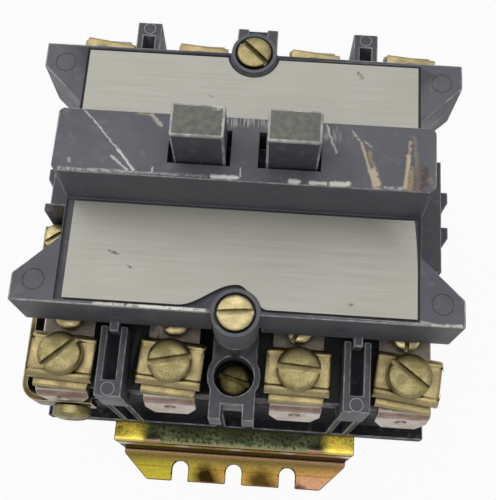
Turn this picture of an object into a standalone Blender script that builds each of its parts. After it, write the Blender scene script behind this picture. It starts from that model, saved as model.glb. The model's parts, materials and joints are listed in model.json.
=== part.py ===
"""Four-pole magnetic contactor on a zinc-plated steel standoff bracket.

Frame: the bracket's feet lie on z = 0, +Z points out of the panel to the front cover,
+Y points to the line end, -Y to the load end, +X to the right of someone who faces the cover.
All sizes below are millimetres; the mesh helpers turn them into metres.
"""
import math

import bmesh
import bpy
from mathutils import Matrix, Vector

MM = 0.001

# Clearances: GAP between fixed pieces, RUN beside sliding ones, LAP past a face that is joined or cut
GAP = 0.3
RUN = 0.35
LAP = 1.0
HEAD_ROOM = 0.5
HOLE_END = 0.8

# Mounting bracket
PLATE_T = 1.6
PLATFORM_RISE = 22.6
PLATFORM_W = 60.8
PLATFORM_PROUD = 4.6
FOOT_L = 7.8
FOOT_SHOULDER = 1.0
FOOT_TIP_W = 47.4
SLOT_W = 4.4
SLOT_PITCH = 14.7
SLOT_CENTRE_FROM_TIP = 3.2
FEET = (-1, 1)

# Magnet and return springs
CORE_W = 58.0
CORE_L = 18.0
CORE_YOKE_T = 7.2
CORE_LEG_W = 7.0
CORE_MID_W = 12.0
COIL_L = 42.0
COIL_SINK = 0.8
ARMATURE_W = 58.0
ARMATURE_L = 18.0
ARMATURE_T = 7.2
ARMATURE_ROOM = 1.0
POLE_FACE_GAP = 0.4
EAR_L = 9.0
EAR_T = 4.0
EAR_EDGE = 0.4
PIN_R = 1.5
PIN_L = 56.0
RETURN_R = 2.4
RETURN_WIRE = 0.9
RETURN_TURNS = 9
RETURN_CLEAR = 2.35
RETURN_SIDE = 0.95

# Front cover
COVER_W = 88.9
COVER_L = 57.4
COVER_END_L = 5.6
COVER_SKIRT = 14.7
COVER_WALL = 2.2
COVER_FACE_T = 2.4
WAIST_W = 71.6
WAIST_L = 30.0
BAR_W = 72.4
BAR_L = 13.2
BAR_H = 13.3
BOSS_R = 4.8
BOSS_IN = 0.1
BOSS_DEEP = 10.7
BOSS_PROUD = 0.6
WINDOW_IN = 2.6
WINDOW_OUT = 14.5
WINDOW_L = 7.4
PLATE_W = 70.2
PLATE_SHEET = 0.5
PLATE_RECESS = 0.8
PLATE_IN = 7.3
PLATE_EDGE = 1.2
PLATE_ROOM = 0.5
PLATE_BITE = 0.8
LOWER_PLATE_TRIM = 1.1
TAB_W = 2.0
TAB_REACH = 2.0
TAB_DROP = 2.4
TAB_RISE = 1.6

# Screws
TERM_HEAD_R = 4.6
TERM_HEAD_H = 2.9
SMALL_HEAD_R = 3.0
SMALL_HEAD_H = 2.2
SMALL_SLOT = 1.0
COIL_HEAD_R = 3.2
COIL_HEAD_H = 2.5
COVER_HEAD_R = 3.6
BLOCK_HEAD_R = 3.5
COVER_HEAD_H = 2.6
JUMPER_HEAD_R = 4.2
JUMPER_HEAD_H = 3.0
CROWN = 0.7
CROWN_LAP = 0.01
SHANK_R = 2.1
SMALL_SHANK_R = 1.5
SHANK_CLEAR = 0.3
COVER_SHANK_L = 11.0
SMALL_SHANK_L = 5.0
COIL_SHANK_L = 6.0
JUMPER_SHANK_L = 5.2
BLOCK_SHANK_PAST = 3.0
DRIVER_SLOT_W = 1.2
DRIVER_SLOT_D = 1.3
COVER_SCREW_SINK = 1.4
BLOCK_SCREW_SINK = 3.1

# Poles: the outer pair jogs inward from its terminal to its contacts
TERMINAL_X = (-36.3, -13.4, 13.4, 36.3)
CONTACT_X = (-28.4, -13.4, 13.4, 28.4)
DRIVER_ROOM = 2.4
LINE_IN = 1.7
CONTACT_SCREW_IN = 9.0
STRAP_T = 1.5
STRAP_W = 11.1
STRAP_DROP = 8.1
STRAP_DROP_BY_JUMPER = 5.0
STRAP_BEND = 0.7
STRAP_LEAN = 0.18
STRAP_TAPER = 2.4
STRAP_TAPER_H = 3.4
STRAP_HOLE_R = 1.3
STRAP_JOG_OUT = 23.0
STRAP_JOG_IN = 16.0
STRAP_FOLD_LAP = 2.0
CONTACT_STRAP_W = 8.0
CONTACT_Y = 12.5
STRAP_IN = 8.5
TIP_R = 2.8
TIP_H = 1.6
TIP_ROOT = 0.5

# Saddle clamps: the line end is screwed down with no wire under it
CLAMP_W = 13.8
CLAMP_L = 8.2
CLAMP_T = 1.1
LOAD_RISE = 2.0
LINE_RISE = 0.0
CLAMP_SHIFT = 0.2
CLAMP_WEB_W = 9.8
CLAMP_WEB_L = 6.4
CLAMP_WEB_LAP = 0.2
WIRE_PLATE_W = 11.6
WIRE_PLATE_IN = 3.6
LOAD_PLATE_OUT = 6.6
LINE_PLATE_OUT = 8.4
WIRE_PLATE_T = 1.0
LIP_R = 0.75

# Contact block
BLOCK_PAST_SCREW = 5.7
BLOCK_FLOOR_T = 5.2
BLOCK_BAY = 0.6
BARRIER_H = 8.6
BARRIER_X = 25.4
BARRIER_W = 5.6
BARRIER_RIB = 1.45
BARRIER_PROUD = 2.7
BARRIER_START = 0.7
POCKET_LAND = 3.5
POCKET_DEEP = 5.5
COLUMN_W = 9.6
COLUMN_H = 4.3
COLUMN_PROUD = 5.3
COLUMN_BULGE_R = 5.7
COLUMN_HOLE_R = 4.25
COLUMN_PITCH = 8.9
COLUMN_NOTCH_W = 4.4
COLUMN_NOTCH_L = 3.2
LINE_NOTCH_DEEP = 0.8
COVER_POST_R = 3.6
PARTITION_T = 2.0
PARTITION_H = 17.6
PARTITION_LAP = 0.5
SIDE_WALL_PROUD = 3.0
SIDE_WALL_L = 26.0
SIDE_WALL_DROP = 1.0
LUG_W = 2.3
LUG_L = 6.4
LUG_SLOPE_L = 3.84
LUG_SPLIT = 2.0
LUG_H = 9.0
LUG_TOP_DROP = 4.0
SHELF_NOTCH_BACK = 8.5
SHELF_NOTCH_FRONT = 3.9

# Magnet housing
HOUSING_H = 31.6
HOUSING_WALL = 2.0
HOUSING_FLOOR_T = 2.0
HOUSING_SCREW_WALL = 3.0
RIB_ROOT = 0.7
RIB_DROP = 0.4
FLANGE_SIDE_OUT = 6.8
FLANGE_T = 4.0
SHELF_W = 4.9
SHELF_SCREW_OUT = 2.8
SHELF_L = 9.0
SHELF_Y = -6.8
SHELF_H = 9.0

# Moving system
TRAVEL = 6.0
CONTACT_GAP = 4.0
BRIDGE_W = 7.0
BRIDGE_T = 2.0
BRIDGE_TIP_H = 1.4
BRIDGE_EDGE = 0.6
SPRING_ROOM = 8.2
CONTACT_SPRING_R = 2.2
CONTACT_WIRE = 0.8
CONTACT_TURNS = 4
CROSSBAR_SILL = 2.1
CROSSBAR_TOP = 8.7
POST_IN = 3.8
POST_W = 9.8
POST_SHIFT = 0.3
POST_L = 6.5
POST_PROUD = 10.9
STEM_X = 21.4
STEM_W = 6.0
STEM_L = 6.0
STEM_FLOOR = 1.0
PIN_CLEAR = 0.12

# Coil jumper on the left side
JUMPER_T = 1.3
JUMPER_DEPTH = 7.0
JUMPER_RUN = 14.5
JUMPER_CORNER = 3.0
JUMPER_TAB_L = 6.0
JUMPER_TAB_REACH = 2.6
JUMPER_PAD_W = 12.0
JUMPER_PAD_T = 1.2
JUMPER_PAD_DROP = 1.0
JUMPER_SCREW_IN = 4.5

# Screw slots and clamp turns, in degrees, as the last wiring left them
LOAD_SLOT_TURN = (42.0, 12.0, -4.0, -37.0)
LINE_SLOT_TURN = (20.0, -30.0, 65.0, 5.0)
LOAD_CLAMP_TURN = (-3.0, -4.0, -1.0, -7.0)
LINE_CLAMP_TURN = (-8.0, -4.7, -6.1, -5.2)
COVER_SLOT_TURN = {"line": -42.0, "load": 5.0}
BLOCK_SLOT_TURN = -16.0
COIL_SLOT_TURN = 35.0
CONTACT_SLOT_STEP = 30.0

# Places across the width, from the magnet outward
MAGNET_W = (CORE_W + ARMATURE_W) / 2
RETURN_X = MAGNET_W / 2 + RETURN_CLEAR + RETURN_R + RETURN_WIRE / 2
EAR_SPAN = 2 * (RETURN_X + RETURN_R + EAR_EDGE)
HOUSING_IN_W = 2 * (RETURN_X + RETURN_R + RETURN_WIRE / 2 + RETURN_SIDE)
HOUSING_W = HOUSING_IN_W + 2 * HOUSING_WALL
FLANGE_W = HOUSING_W + 2 * FLANGE_SIDE_OUT
BLOCK_W = HOUSING_W
SIDE_WALL_OUT = BLOCK_W / 2 + SIDE_WALL_PROUD
SHELF_X = -HOUSING_W / 2 - SHELF_SCREW_OUT
JUMPER_HOLE_X = -HOUSING_W / 2 + JUMPER_SCREW_IN
COIL_W = CORE_W - 2 * CORE_LEG_W - 2 * GAP
BAR_CAVITY_W = BAR_W - 2 * COVER_WALL
CROSSBAR_W = BAR_CAVITY_W - 2 * RUN
BAY_HALF_W = CROSSBAR_W / 2 + BLOCK_BAY
BARRIER_GROOVE = BARRIER_W - 2 * BARRIER_RIB
END_RIBS = ((-BARRIER_X, BARRIER_W, BARRIER_GROOVE), (0.0, COLUMN_W, COLUMN_NOTCH_W),
            (BARRIER_X, BARRIER_W, BARRIER_GROOVE))

# Places along the length, from the cover outward
COVER_SHOULDER = COVER_L / 2 - COVER_END_L
BOSS_Y = COVER_L / 2 - BOSS_IN
PLATE_OUT = COVER_L / 2 - PLATE_EDGE
LOAD_TERMINAL_Y = COVER_L / 2 + DRIVER_ROOM + TERM_HEAD_R
LINE_TERMINAL_Y = LOAD_TERMINAL_Y - LINE_IN
BLOCK_L = 2 * (LOAD_TERMINAL_Y + BLOCK_PAST_SCREW)
STRAP_FACE = BLOCK_L / 2 + GAP
STRAP_EDGE = STRAP_FACE + STRAP_T
BARRIER_END = BLOCK_L / 2 + BARRIER_PROUD
POCKET_END = BARRIER_END - POCKET_LAND
COLUMN_END = BLOCK_L / 2 + COLUMN_PROUD
COLUMN_HOLE_Y = BOSS_Y + COLUMN_PITCH
HOUSING_L = BLOCK_L
HOUSING_IN_L = 2 * (COLUMN_HOLE_Y - SHANK_R - HOUSING_SCREW_WALL)
HOUSING_RIB_END = BARRIER_END - GAP
FLANGE_L = 2 * HOUSING_RIB_END
PLATFORM_L = FLANGE_L + 2 * PLATFORM_PROUD
JUMPER_SEAT = HOUSING_L / 2 + JUMPER_PAD_T
BAR_CAVITY_L = BAR_L - 2 * COVER_WALL
CROSSBAR_L = BAR_CAVITY_L - 2 * RUN
BAY_L = CROSSBAR_L + 2 * BLOCK_BAY

# Levels, from the panel outward
HOUSING_Z = PLATFORM_RISE + GAP
HOUSING_TOP = HOUSING_Z + HOUSING_H
FLOOR_Z = HOUSING_TOP + GAP
FLOOR_TOP = FLOOR_Z + BLOCK_FLOOR_T
BARRIER_TOP = FLOOR_TOP + BARRIER_H
COLUMN_TOP = FLOOR_TOP + COLUMN_H
SIDE_TOP = BARRIER_TOP - SIDE_WALL_DROP
COVER_Z = SIDE_TOP + GAP
FLANGE_Z = COVER_Z + COVER_SKIRT
BAR_Z = FLANGE_Z + BAR_H
BOSS_Z = FLANGE_Z - BOSS_DEEP
STRAP_Z = FLOOR_TOP + GAP
STRAP_TOP = STRAP_Z + STRAP_T
TIP_TOP = STRAP_TOP + TIP_H
CLAMP_Z = STRAP_TOP + GAP
CONTACT_HOLE_Z = STRAP_TOP + GAP - SMALL_SHANK_L - HOLE_END
TERMINAL_HOLE_Z = FLOOR_Z + HOLE_END
TERMINAL_SHANK_Z = TERMINAL_HOLE_Z + HOLE_END
JUMPER_TOP = STRAP_TOP - STRAP_BEND - STRAP_DROP_BY_JUMPER - GAP
JUMPER_MID_Z = JUMPER_TOP - JUMPER_DEPTH / 2
SHELF_TOP = JUMPER_TOP - JUMPER_T - GAP
BRIDGE_Z = TIP_TOP + CONTACT_GAP
BRIDGE_BAR_Z = BRIDGE_Z + BRIDGE_TIP_H
BRIDGE_TOP = BRIDGE_BAR_Z + BRIDGE_T
SILL_TOP = BRIDGE_BAR_Z - GAP
CROSSBAR_Z = SILL_TOP - CROSSBAR_SILL
WINDOW_ROOF = BRIDGE_TOP + GAP + SPRING_ROOM + GAP
CROSSBAR_ROOF = WINDOW_ROOF + CROSSBAR_TOP
POST_TOP = BAR_Z + POST_PROUD
ARMATURE_TOP = FLOOR_Z - GAP - ARMATURE_ROOM
ARMATURE_Z = ARMATURE_TOP - ARMATURE_T
POLE_FACE_Z = ARMATURE_Z - TRAVEL - POLE_FACE_GAP
CORE_Z = PLATFORM_RISE + GAP
COIL_Z = CORE_Z + CORE_YOKE_T + GAP
COIL_TOP = POLE_FACE_Z - COIL_SINK
EAR_Z = ARMATURE_TOP - EAR_T
RETURN_Z = HOUSING_Z + HOUSING_FLOOR_T + GAP
RETURN_TOP = EAR_Z - GAP
PIN_Z = ARMATURE_Z + ARMATURE_T / 2
STEM_Z = ARMATURE_Z + STEM_FLOOR
BLOCK_SCREW_SEAT = FLOOR_TOP - BLOCK_SCREW_SINK
COVER_SCREW_SEAT = FLANGE_Z - COVER_SCREW_SINK


def clear_scene():
    """Remove every object that the scene holds."""
    for ob in list(bpy.data.objects):
        bpy.data.objects.remove(ob, do_unlink=True)


def mesh_object(bm, name="tool"):
    """Make a scene object of a bmesh whose faces point outward."""
    bmesh.ops.recalc_face_normals(bm, faces=bm.faces)
    mesh = bpy.data.meshes.new(name)
    bm.to_mesh(mesh)
    bm.free()
    ob = bpy.data.objects.new(name, mesh)
    bpy.context.scene.collection.objects.link(ob)
    return ob


def prism(outline, z0, z1):
    """Closed solid of a flat outline pulled from z0 up to z1."""
    bm = bmesh.new()
    low = [bm.verts.new((x * MM, y * MM, z0 * MM)) for x, y in outline]
    face = bm.faces.new(low)
    pulled = bmesh.ops.extrude_face_region(bm, geom=[face])
    raised = [item for item in pulled["geom"] if isinstance(item, bmesh.types.BMVert)]
    bmesh.ops.translate(bm, verts=raised, vec=(0.0, 0.0, (z1 - z0) * MM))
    return mesh_object(bm)


def box(x0, x1, y0, y1, z0, z1):
    """Closed rectangular block between the given limits."""
    return prism([(x0, y0), (x1, y0), (x1, y1), (x0, y1)], z0, z1)


def block(width, length, z0, z1, x=0.0, y=0.0):
    """Closed rectangular block centred on x, y."""
    return box(x - width / 2, x + width / 2, y - length / 2, y + length / 2, z0, z1)


def disc(radius, z0, z1, x=0.0, y=0.0, sides=20, top_radius=None):
    """Upright cylinder, or a cone frustum if a top radius is given."""
    bm = bmesh.new()
    top = radius if top_radius is None else top_radius
    place = Matrix.Translation(Vector((x, y, (z0 + z1) / 2)) * MM)
    bmesh.ops.create_cone(bm, cap_ends=True, segments=sides, radius1=radius * MM, radius2=top * MM,
                          depth=(z1 - z0) * MM, matrix=place)
    return mesh_object(bm)


def rod(radius, length, centre, axis, sides=20):
    """Cylinder along the X or Y axis about its centre."""
    bm = bmesh.new()
    turn = Matrix.Rotation(math.pi / 2, 4, "Y" if axis == "X" else "X")
    place = Matrix.Translation(Vector(centre) * MM) @ turn
    bmesh.ops.create_cone(bm, cap_ends=True, segments=sides, radius1=radius * MM, radius2=radius * MM,
                          depth=length * MM, matrix=place)
    return mesh_object(bm)


def section(profile, x0, x1):
    """Closed solid of an outline in the Y and Z plane pulled from x0 to x1."""
    bm = bmesh.new()
    near = [bm.verts.new((x0 * MM, y * MM, z * MM)) for y, z in profile]
    pulled = bmesh.ops.extrude_face_region(bm, geom=[bm.faces.new(near)])
    moved = [item for item in pulled["geom"] if isinstance(item, bmesh.types.BMVert)]
    bmesh.ops.translate(bm, verts=moved, vec=((x1 - x0) * MM, 0.0, 0.0))
    return mesh_object(bm)


def wedge(profile, y0, y1):
    """Closed solid of an outline in the X and Z plane pulled from y0 to y1."""
    bm = bmesh.new()
    near = [bm.verts.new((x * MM, y0 * MM, z * MM)) for x, z in profile]
    pulled = bmesh.ops.extrude_face_region(bm, geom=[bm.faces.new(near)])
    moved = [item for item in pulled["geom"] if isinstance(item, bmesh.types.BMVert)]
    bmesh.ops.translate(bm, verts=moved, vec=(0.0, (y1 - y0) * MM, 0.0))
    return mesh_object(bm)


def arc(cx, cy, radius, start, end, steps=10):
    """Points on a circle from one angle to another, in degrees."""
    angles = [math.radians(start + (end - start) * i / steps) for i in range(steps + 1)]
    return [(cx + radius * math.cos(a), cy + radius * math.sin(a)) for a in angles]


def mirrored(points):
    """Outline of a shape that is the same left and right, from its right half going up."""
    return points + [(-x, y) for x, y in reversed(points)]


def cut(base, adds=(), cuts=()):
    """Join solids to a base, cut others out of it, and return the finished mesh."""
    for tools, kind in ((adds, "UNION"), (cuts, "DIFFERENCE")):
        for tool in tools:
            tool.hide_render = True
            step = base.modifiers.new(kind.lower(), "BOOLEAN")
            step.operation = kind
            step.solver = "EXACT"
            step.object = tool
    graph = bpy.context.evaluated_depsgraph_get()
    graph.update()
    mesh = bpy.data.meshes.new_from_object(base.evaluated_get(graph))
    for ob in (base, *adds, *cuts):
        bpy.data.objects.remove(ob, do_unlink=True)
    tidy = bmesh.new()
    tidy.from_mesh(mesh)
    bmesh.ops.remove_doubles(tidy, verts=tidy.verts, dist=0.002 * MM)
    bmesh.ops.dissolve_degenerate(tidy, edges=tidy.edges, dist=0.002 * MM)
    tidy.to_mesh(mesh)
    tidy.free()
    return mesh


def material(name, color, roughness, metallic):
    """Principled material with one colour, roughness and metallic value."""
    found = bpy.data.materials.get(name)
    if found:
        return found
    made = bpy.data.materials.new(name)
    made.use_nodes = True
    shader = made.node_tree.nodes["Principled BSDF"]
    shader.inputs["Base Color"].default_value = (*color, 1.0)
    shader.inputs["Roughness"].default_value = roughness
    shader.inputs["Metallic"].default_value = metallic
    return made


PHENOLIC = ("black_phenolic", (0.045, 0.045, 0.05), 0.55, 0.0)
BRASS = ("brass", (0.62, 0.54, 0.27), 0.38, 1.0)
COPPER = ("copper_alloy", (0.72, 0.55, 0.48), 0.42, 1.0)
ALUMINIUM = ("nameplate_aluminium", (0.66, 0.66, 0.6), 0.4, 1.0)
ZINC = ("yellow_zinc_steel", (0.7, 0.56, 0.2), 0.35, 1.0)
STEEL = ("spring_steel", (0.5, 0.5, 0.52), 0.35, 1.0)
LAMINATION = ("lamination_steel", (0.32, 0.33, 0.35), 0.45, 1.0)
WINDING = ("coil_varnish", (0.3, 0.1, 0.06), 0.5, 0.0)


def node(name, mesh, finish, location=(0.0, 0.0, 0.0), turn=0.0, parent=None):
    """Place a finished mesh as one named piece, at a location in mm, turned about Z in degrees."""
    ob = bpy.data.objects.new(name, mesh)
    bpy.context.scene.collection.objects.link(ob)
    if not mesh.materials:
        mesh.materials.append(material(*finish))
    mesh.shade_smooth()
    mesh.set_sharp_from_angle(angle=math.radians(32))
    ob.location = Vector(location) * MM
    ob.rotation_euler = (0.0, 0.0, math.radians(turn))
    if parent:
        ob.parent = parent
        ob.location = (Vector(location) - Vector(parent["at_mm"])) * MM
    return ob


def guide(name, at):
    """Empty that marks a joint's axis and carries the pieces that move on it."""
    ob = bpy.data.objects.new(name, None)
    bpy.context.scene.collection.objects.link(ob)
    ob.location = Vector(at) * MM
    ob["at_mm"] = at
    return ob



def bracket_mesh():
    """Pressed sheet: raised platform, two step walls and two feet with slots open at their tips."""
    half_w = PLATFORM_W / 2
    half_l = PLATFORM_L / 2
    tip_y = half_l + FOOT_L
    base = block(PLATFORM_W, PLATFORM_L, PLATFORM_RISE - PLATE_T, PLATFORM_RISE)
    adds = []
    cuts = []
    for side in FEET:
        wall_in = side * (half_l - PLATE_T)
        wall = sorted((wall_in, side * half_l))
        adds.append(box(-half_w, half_w, wall[0], wall[1], 0, PLATFORM_RISE))
        foot = [(half_w, wall_in), (half_w, side * (half_l + FOOT_SHOULDER)), (FOOT_TIP_W / 2, side * tip_y)]
        adds.append(prism(mirrored(foot), 0, PLATE_T))
        for place in (-1, 0, 1):
            x = place * SLOT_PITCH
            centre = side * (tip_y - SLOT_CENTRE_FROM_TIP)
            ends = sorted((centre, side * (tip_y + LAP)))
            cuts.append(disc(SLOT_W / 2, -LAP, PLATE_T + LAP, x, centre))
            cuts.append(box(x - SLOT_W / 2, x + SLOT_W / 2, ends[0], ends[1], -LAP, PLATE_T + LAP))
        cuts.append(disc(SHANK_R + SHANK_CLEAR, PLATFORM_RISE - PLATE_T - LAP, PLATFORM_RISE + LAP,
                         0, side * COLUMN_HOLE_Y))
    return cut(base, adds, cuts)


def housing_mesh():
    """Open box that holds the magnet, with a wide back flange and a shelf for the coil terminal."""
    base = block(HOUSING_W, HOUSING_L, HOUSING_Z, HOUSING_TOP)
    adds = [block(FLANGE_W, FLANGE_L, HOUSING_Z, HOUSING_Z + FLANGE_T)]
    shelf_root = -HOUSING_W / 2
    adds.append(box(shelf_root - SHELF_W, shelf_root + LAP, SHELF_Y - SHELF_L / 2, SHELF_Y + SHELF_L / 2,
                    SHELF_TOP - SHELF_H, SHELF_TOP))
    adds.append(box(JUMPER_HOLE_X - JUMPER_PAD_W / 2, JUMPER_HOLE_X + JUMPER_PAD_W / 2, -JUMPER_SEAT,
                    -HOUSING_L / 2 + LAP, JUMPER_MID_Z - JUMPER_DEPTH / 2,
                    min(JUMPER_TOP, HOUSING_TOP) - JUMPER_PAD_DROP))
    cuts = [block(HOUSING_IN_W, HOUSING_IN_L, HOUSING_Z + HOUSING_FLOOR_T, HOUSING_TOP + LAP)]
    cuts.append(block(CORE_W + 2 * GAP, CORE_L + 2 * GAP, HOUSING_Z - LAP, HOUSING_TOP))
    cuts.append(disc(SMALL_SHANK_R + SHANK_CLEAR, SHELF_TOP - COIL_SHANK_L - HOLE_END, SHELF_TOP + LAP,
                     SHELF_X, SHELF_Y, 16))
    cuts.append(rod(SMALL_SHANK_R + SHANK_CLEAR, 2 * JUMPER_SHANK_L,
                    (JUMPER_HOLE_X, -JUMPER_SEAT, JUMPER_MID_Z), "Y", 16))
    for sign in (-1, 1):
        cuts.append(disc(SHANK_R + SHANK_CLEAR, HOUSING_Z - LAP, HOUSING_TOP + LAP, 0, sign * COLUMN_HOLE_Y))
        rib = sorted((sign * (HOUSING_L / 2 - RIB_ROOT), sign * HOUSING_RIB_END))
        groove_ends = sorted((sign * HOUSING_L / 2, sign * (HOUSING_RIB_END + LAP)))
        for x, width, groove in END_RIBS:
            adds.append(box(x - width / 2, x + width / 2, rib[0], rib[1], HOUSING_Z, HOUSING_TOP - RIB_DROP))
            cuts.append(box(x - groove / 2, x + groove / 2, groove_ends[0], groove_ends[1],
                            HOUSING_Z + FLANGE_T, HOUSING_TOP + LAP))
    return cut(base, adds, cuts)


def block_end(sign):
    """Solids to join and to cut at one end of the contact block: column, cover post, barriers, holes."""
    column = sorted((sign * (BOSS_Y - LAP), sign * COLUMN_END))
    barrier = sorted((sign * (COVER_L / 2 + BARRIER_START), sign * BARRIER_END))
    pocket = sorted((sign * (COVER_L / 2 - LAP), sign * POCKET_END))
    notch = sorted((sign * (COLUMN_END - COLUMN_NOTCH_L), sign * (COLUMN_END + LAP)))
    adds = [box(-COLUMN_W / 2, COLUMN_W / 2, column[0], column[1], FLOOR_Z, COLUMN_TOP)]
    adds.append(disc(COLUMN_BULGE_R, FLOOR_Z, COLUMN_TOP, 0, sign * COLUMN_HOLE_Y))
    adds.append(disc(COLUMN_W / 2, FLOOR_Z, BOSS_Z - GAP, 0, sign * BOSS_Y))
    adds.append(disc(COVER_POST_R, FLOOR_TOP, FLANGE_Z - COVER_FACE_T - GAP, 0, sign * BOSS_Y))
    cuts = [disc(COLUMN_HOLE_R, BLOCK_SCREW_SEAT, COLUMN_TOP + LAP, 0, sign * COLUMN_HOLE_Y)]
    cuts.append(disc(SHANK_R + SHANK_CLEAR, FLOOR_Z - LAP, COLUMN_TOP, 0, sign * COLUMN_HOLE_Y))
    cuts.append(disc(SHANK_R + SHANK_CLEAR, COVER_SCREW_SEAT - COVER_SHANK_L - HOLE_END, FLANGE_Z,
                     0, sign * BOSS_Y))
    notch_floor = FLOOR_Z - LAP if sign < 0 else COLUMN_TOP - LINE_NOTCH_DEEP
    cuts.append(box(-COLUMN_NOTCH_W / 2, COLUMN_NOTCH_W / 2, notch[0], notch[1],
                    notch_floor, COLUMN_TOP + LAP))
    for x in (-BARRIER_X, BARRIER_X):
        adds.append(box(x - BARRIER_W / 2, x + BARRIER_W / 2, barrier[0], barrier[1], FLOOR_Z, BARRIER_TOP))
        cuts.append(box(x - BARRIER_GROOVE / 2, x + BARRIER_GROOVE / 2, pocket[0], pocket[1],
                        BARRIER_TOP - POCKET_DEEP, BARRIER_TOP + LAP))
    terminal_y = sign * (LOAD_TERMINAL_Y if sign < 0 else LINE_TERMINAL_Y)
    for x in TERMINAL_X:
        cuts.append(disc(SHANK_R + SHANK_CLEAR, TERMINAL_HOLE_Z, FLOOR_TOP + LAP, x, terminal_y))
        cuts.append(disc(SMALL_SHANK_R + SHANK_CLEAR, CONTACT_HOLE_Z, FLOOR_TOP + LAP, x,
                         terminal_y - sign * CONTACT_SCREW_IN, 16))
    return adds, cuts


def block_side(sign):
    """Solids to join at the block's left or right side: partitions at both ends, wall and split hook."""
    adds = []
    partition = (CROSSBAR_L / 2 + LAP, BOSS_Y - COLUMN_W / 2 + PARTITION_LAP)
    for x in (-STEM_X, 0.0, STEM_X):
        ends = sorted(sign * y for y in partition)
        adds.append(box(x - PARTITION_T / 2, x + PARTITION_T / 2, ends[0], ends[1],
                        FLOOR_Z, FLOOR_TOP + PARTITION_H))
    wall = sorted((sign * BAY_HALF_W, sign * SIDE_WALL_OUT))
    adds.append(box(wall[0], wall[1], -SIDE_WALL_L / 2, SIDE_WALL_L / 2, FLOOR_Z, SIDE_TOP))
    root = sign * (SIDE_WALL_OUT - LAP)
    tip = sign * (SIDE_WALL_OUT + LUG_W)
    for low in (LUG_SPLIT / 2, -LUG_SPLIT / 2 - LUG_L):
        high = low + LUG_L
        outline = [(root, low), (root, high), (tip, high), (tip, low + LUG_SLOPE_L),
                   (sign * SIDE_WALL_OUT, low)]
        adds.append(prism(outline, SIDE_TOP - LUG_TOP_DROP - LUG_H, SIDE_TOP - LUG_TOP_DROP))
    return adds


def contact_block_mesh():
    """Moulded block: floor, barriers, middle columns, cover posts, partitions and side hooks."""
    base = block(BLOCK_W, BLOCK_L, FLOOR_Z, FLOOR_TOP)
    adds = []
    cuts = [block(2 * BAY_HALF_W, BAY_L, FLOOR_Z - LAP, FLOOR_TOP + LAP)]
    for sign in (-1, 1):
        end_adds, end_cuts = block_end(sign)
        adds += end_adds + block_side(sign)
        cuts += end_cuts
    cuts.append(box(-SIDE_WALL_OUT - LUG_W - LAP, SHELF_X + SMALL_HEAD_R + LAP, SHELF_Y - SHELF_NOTCH_BACK,
                    SHELF_Y + SHELF_NOTCH_FRONT, FLOOR_Z - LAP, SIDE_TOP + LAP))
    return cut(base, adds, cuts)


def cover_outline(inset=0.0):
    """Bow-tie outline of the cover, moved inward by an inset."""
    half_w = COVER_W / 2 - inset
    half_l = COVER_L / 2 - inset
    waist = WAIST_W / 2 - inset
    right = [(half_w, -half_l), (half_w, -COVER_SHOULDER), (waist, -WAIST_L / 2), (waist, WAIST_L / 2),
             (half_w, COVER_SHOULDER), (half_w, half_l)]
    return mirrored(right)


def nameplate_outline(side, grow=0.0, trim=0.0):
    """Nameplate outline with a rounded bite round the cover screw's boss and its left edge trimmed."""
    half = PLATE_W / 2 + grow
    inner = PLATE_IN - grow
    outer = PLATE_OUT + grow
    bite = BOSS_R + PLATE_BITE - grow
    half_chord = math.sqrt(bite ** 2 - (BOSS_Y - outer) ** 2)
    start = math.degrees(math.atan2(outer - BOSS_Y, half_chord))
    curve = arc(0.0, BOSS_Y, bite, start, -180.0 - start, 14)
    points = [(half, inner), (half, outer)] + curve + [(trim - half, outer), (trim - half, inner)]
    return [(x, side * y) for x, y in points]


def cover_mesh():
    """Moulded bow-tie cover: skirt, flange plates, hollow raised bar with two windows, two bosses."""
    face_z = FLANGE_Z - COVER_FACE_T
    base = prism(cover_outline(), COVER_Z, FLANGE_Z)
    adds = [block(BAR_W, BAR_L, face_z, BAR_Z)]
    cuts = [prism(cover_outline(COVER_WALL), COVER_Z - LAP, face_z)]
    cuts.append(block(BAR_CAVITY_W, BAR_CAVITY_L, COVER_Z, BAR_Z - COVER_FACE_T))
    for sign in (-1, 1):
        window = sorted((sign * WINDOW_IN, sign * WINDOW_OUT))
        y = sign * BOSS_Y
        cuts.append(box(window[0], window[1], -WINDOW_L / 2, WINDOW_L / 2,
                        BAR_Z - COVER_FACE_T - LAP, BAR_Z + LAP))
        adds.append(disc(BOSS_R, BOSS_Z, FLANGE_Z + BOSS_PROUD, 0, y, 28))
        cuts.append(disc(COLUMN_W / 2 + RUN, COVER_Z - LAP, BOSS_Z, 0, y))
        cuts.append(disc(COVER_POST_R + RUN, BOSS_Z - LAP, face_z, 0, y))
        cuts.append(disc(SHANK_R + SHANK_CLEAR, face_z - LAP, FLANGE_Z + LAP, 0, y))
        cuts.append(disc(COVER_HEAD_R + HEAD_ROOM, COVER_SCREW_SEAT, FLANGE_Z + LAP, 0, y, 28))
        cuts.append(prism(nameplate_outline(sign, PLATE_ROOM), FLANGE_Z - PLATE_RECESS, FLANGE_Z + GAP))
        tab = sorted((sign * (COVER_L / 2 - LAP), sign * (COVER_L / 2 + TAB_REACH)))
        for x in (-BARRIER_X, BARRIER_X):
            adds.append(box(x - TAB_W / 2, x + TAB_W / 2, tab[0], tab[1],
                            COVER_Z - TAB_DROP, COVER_Z + TAB_RISE))
    return cut(base, adds, cuts)


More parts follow.
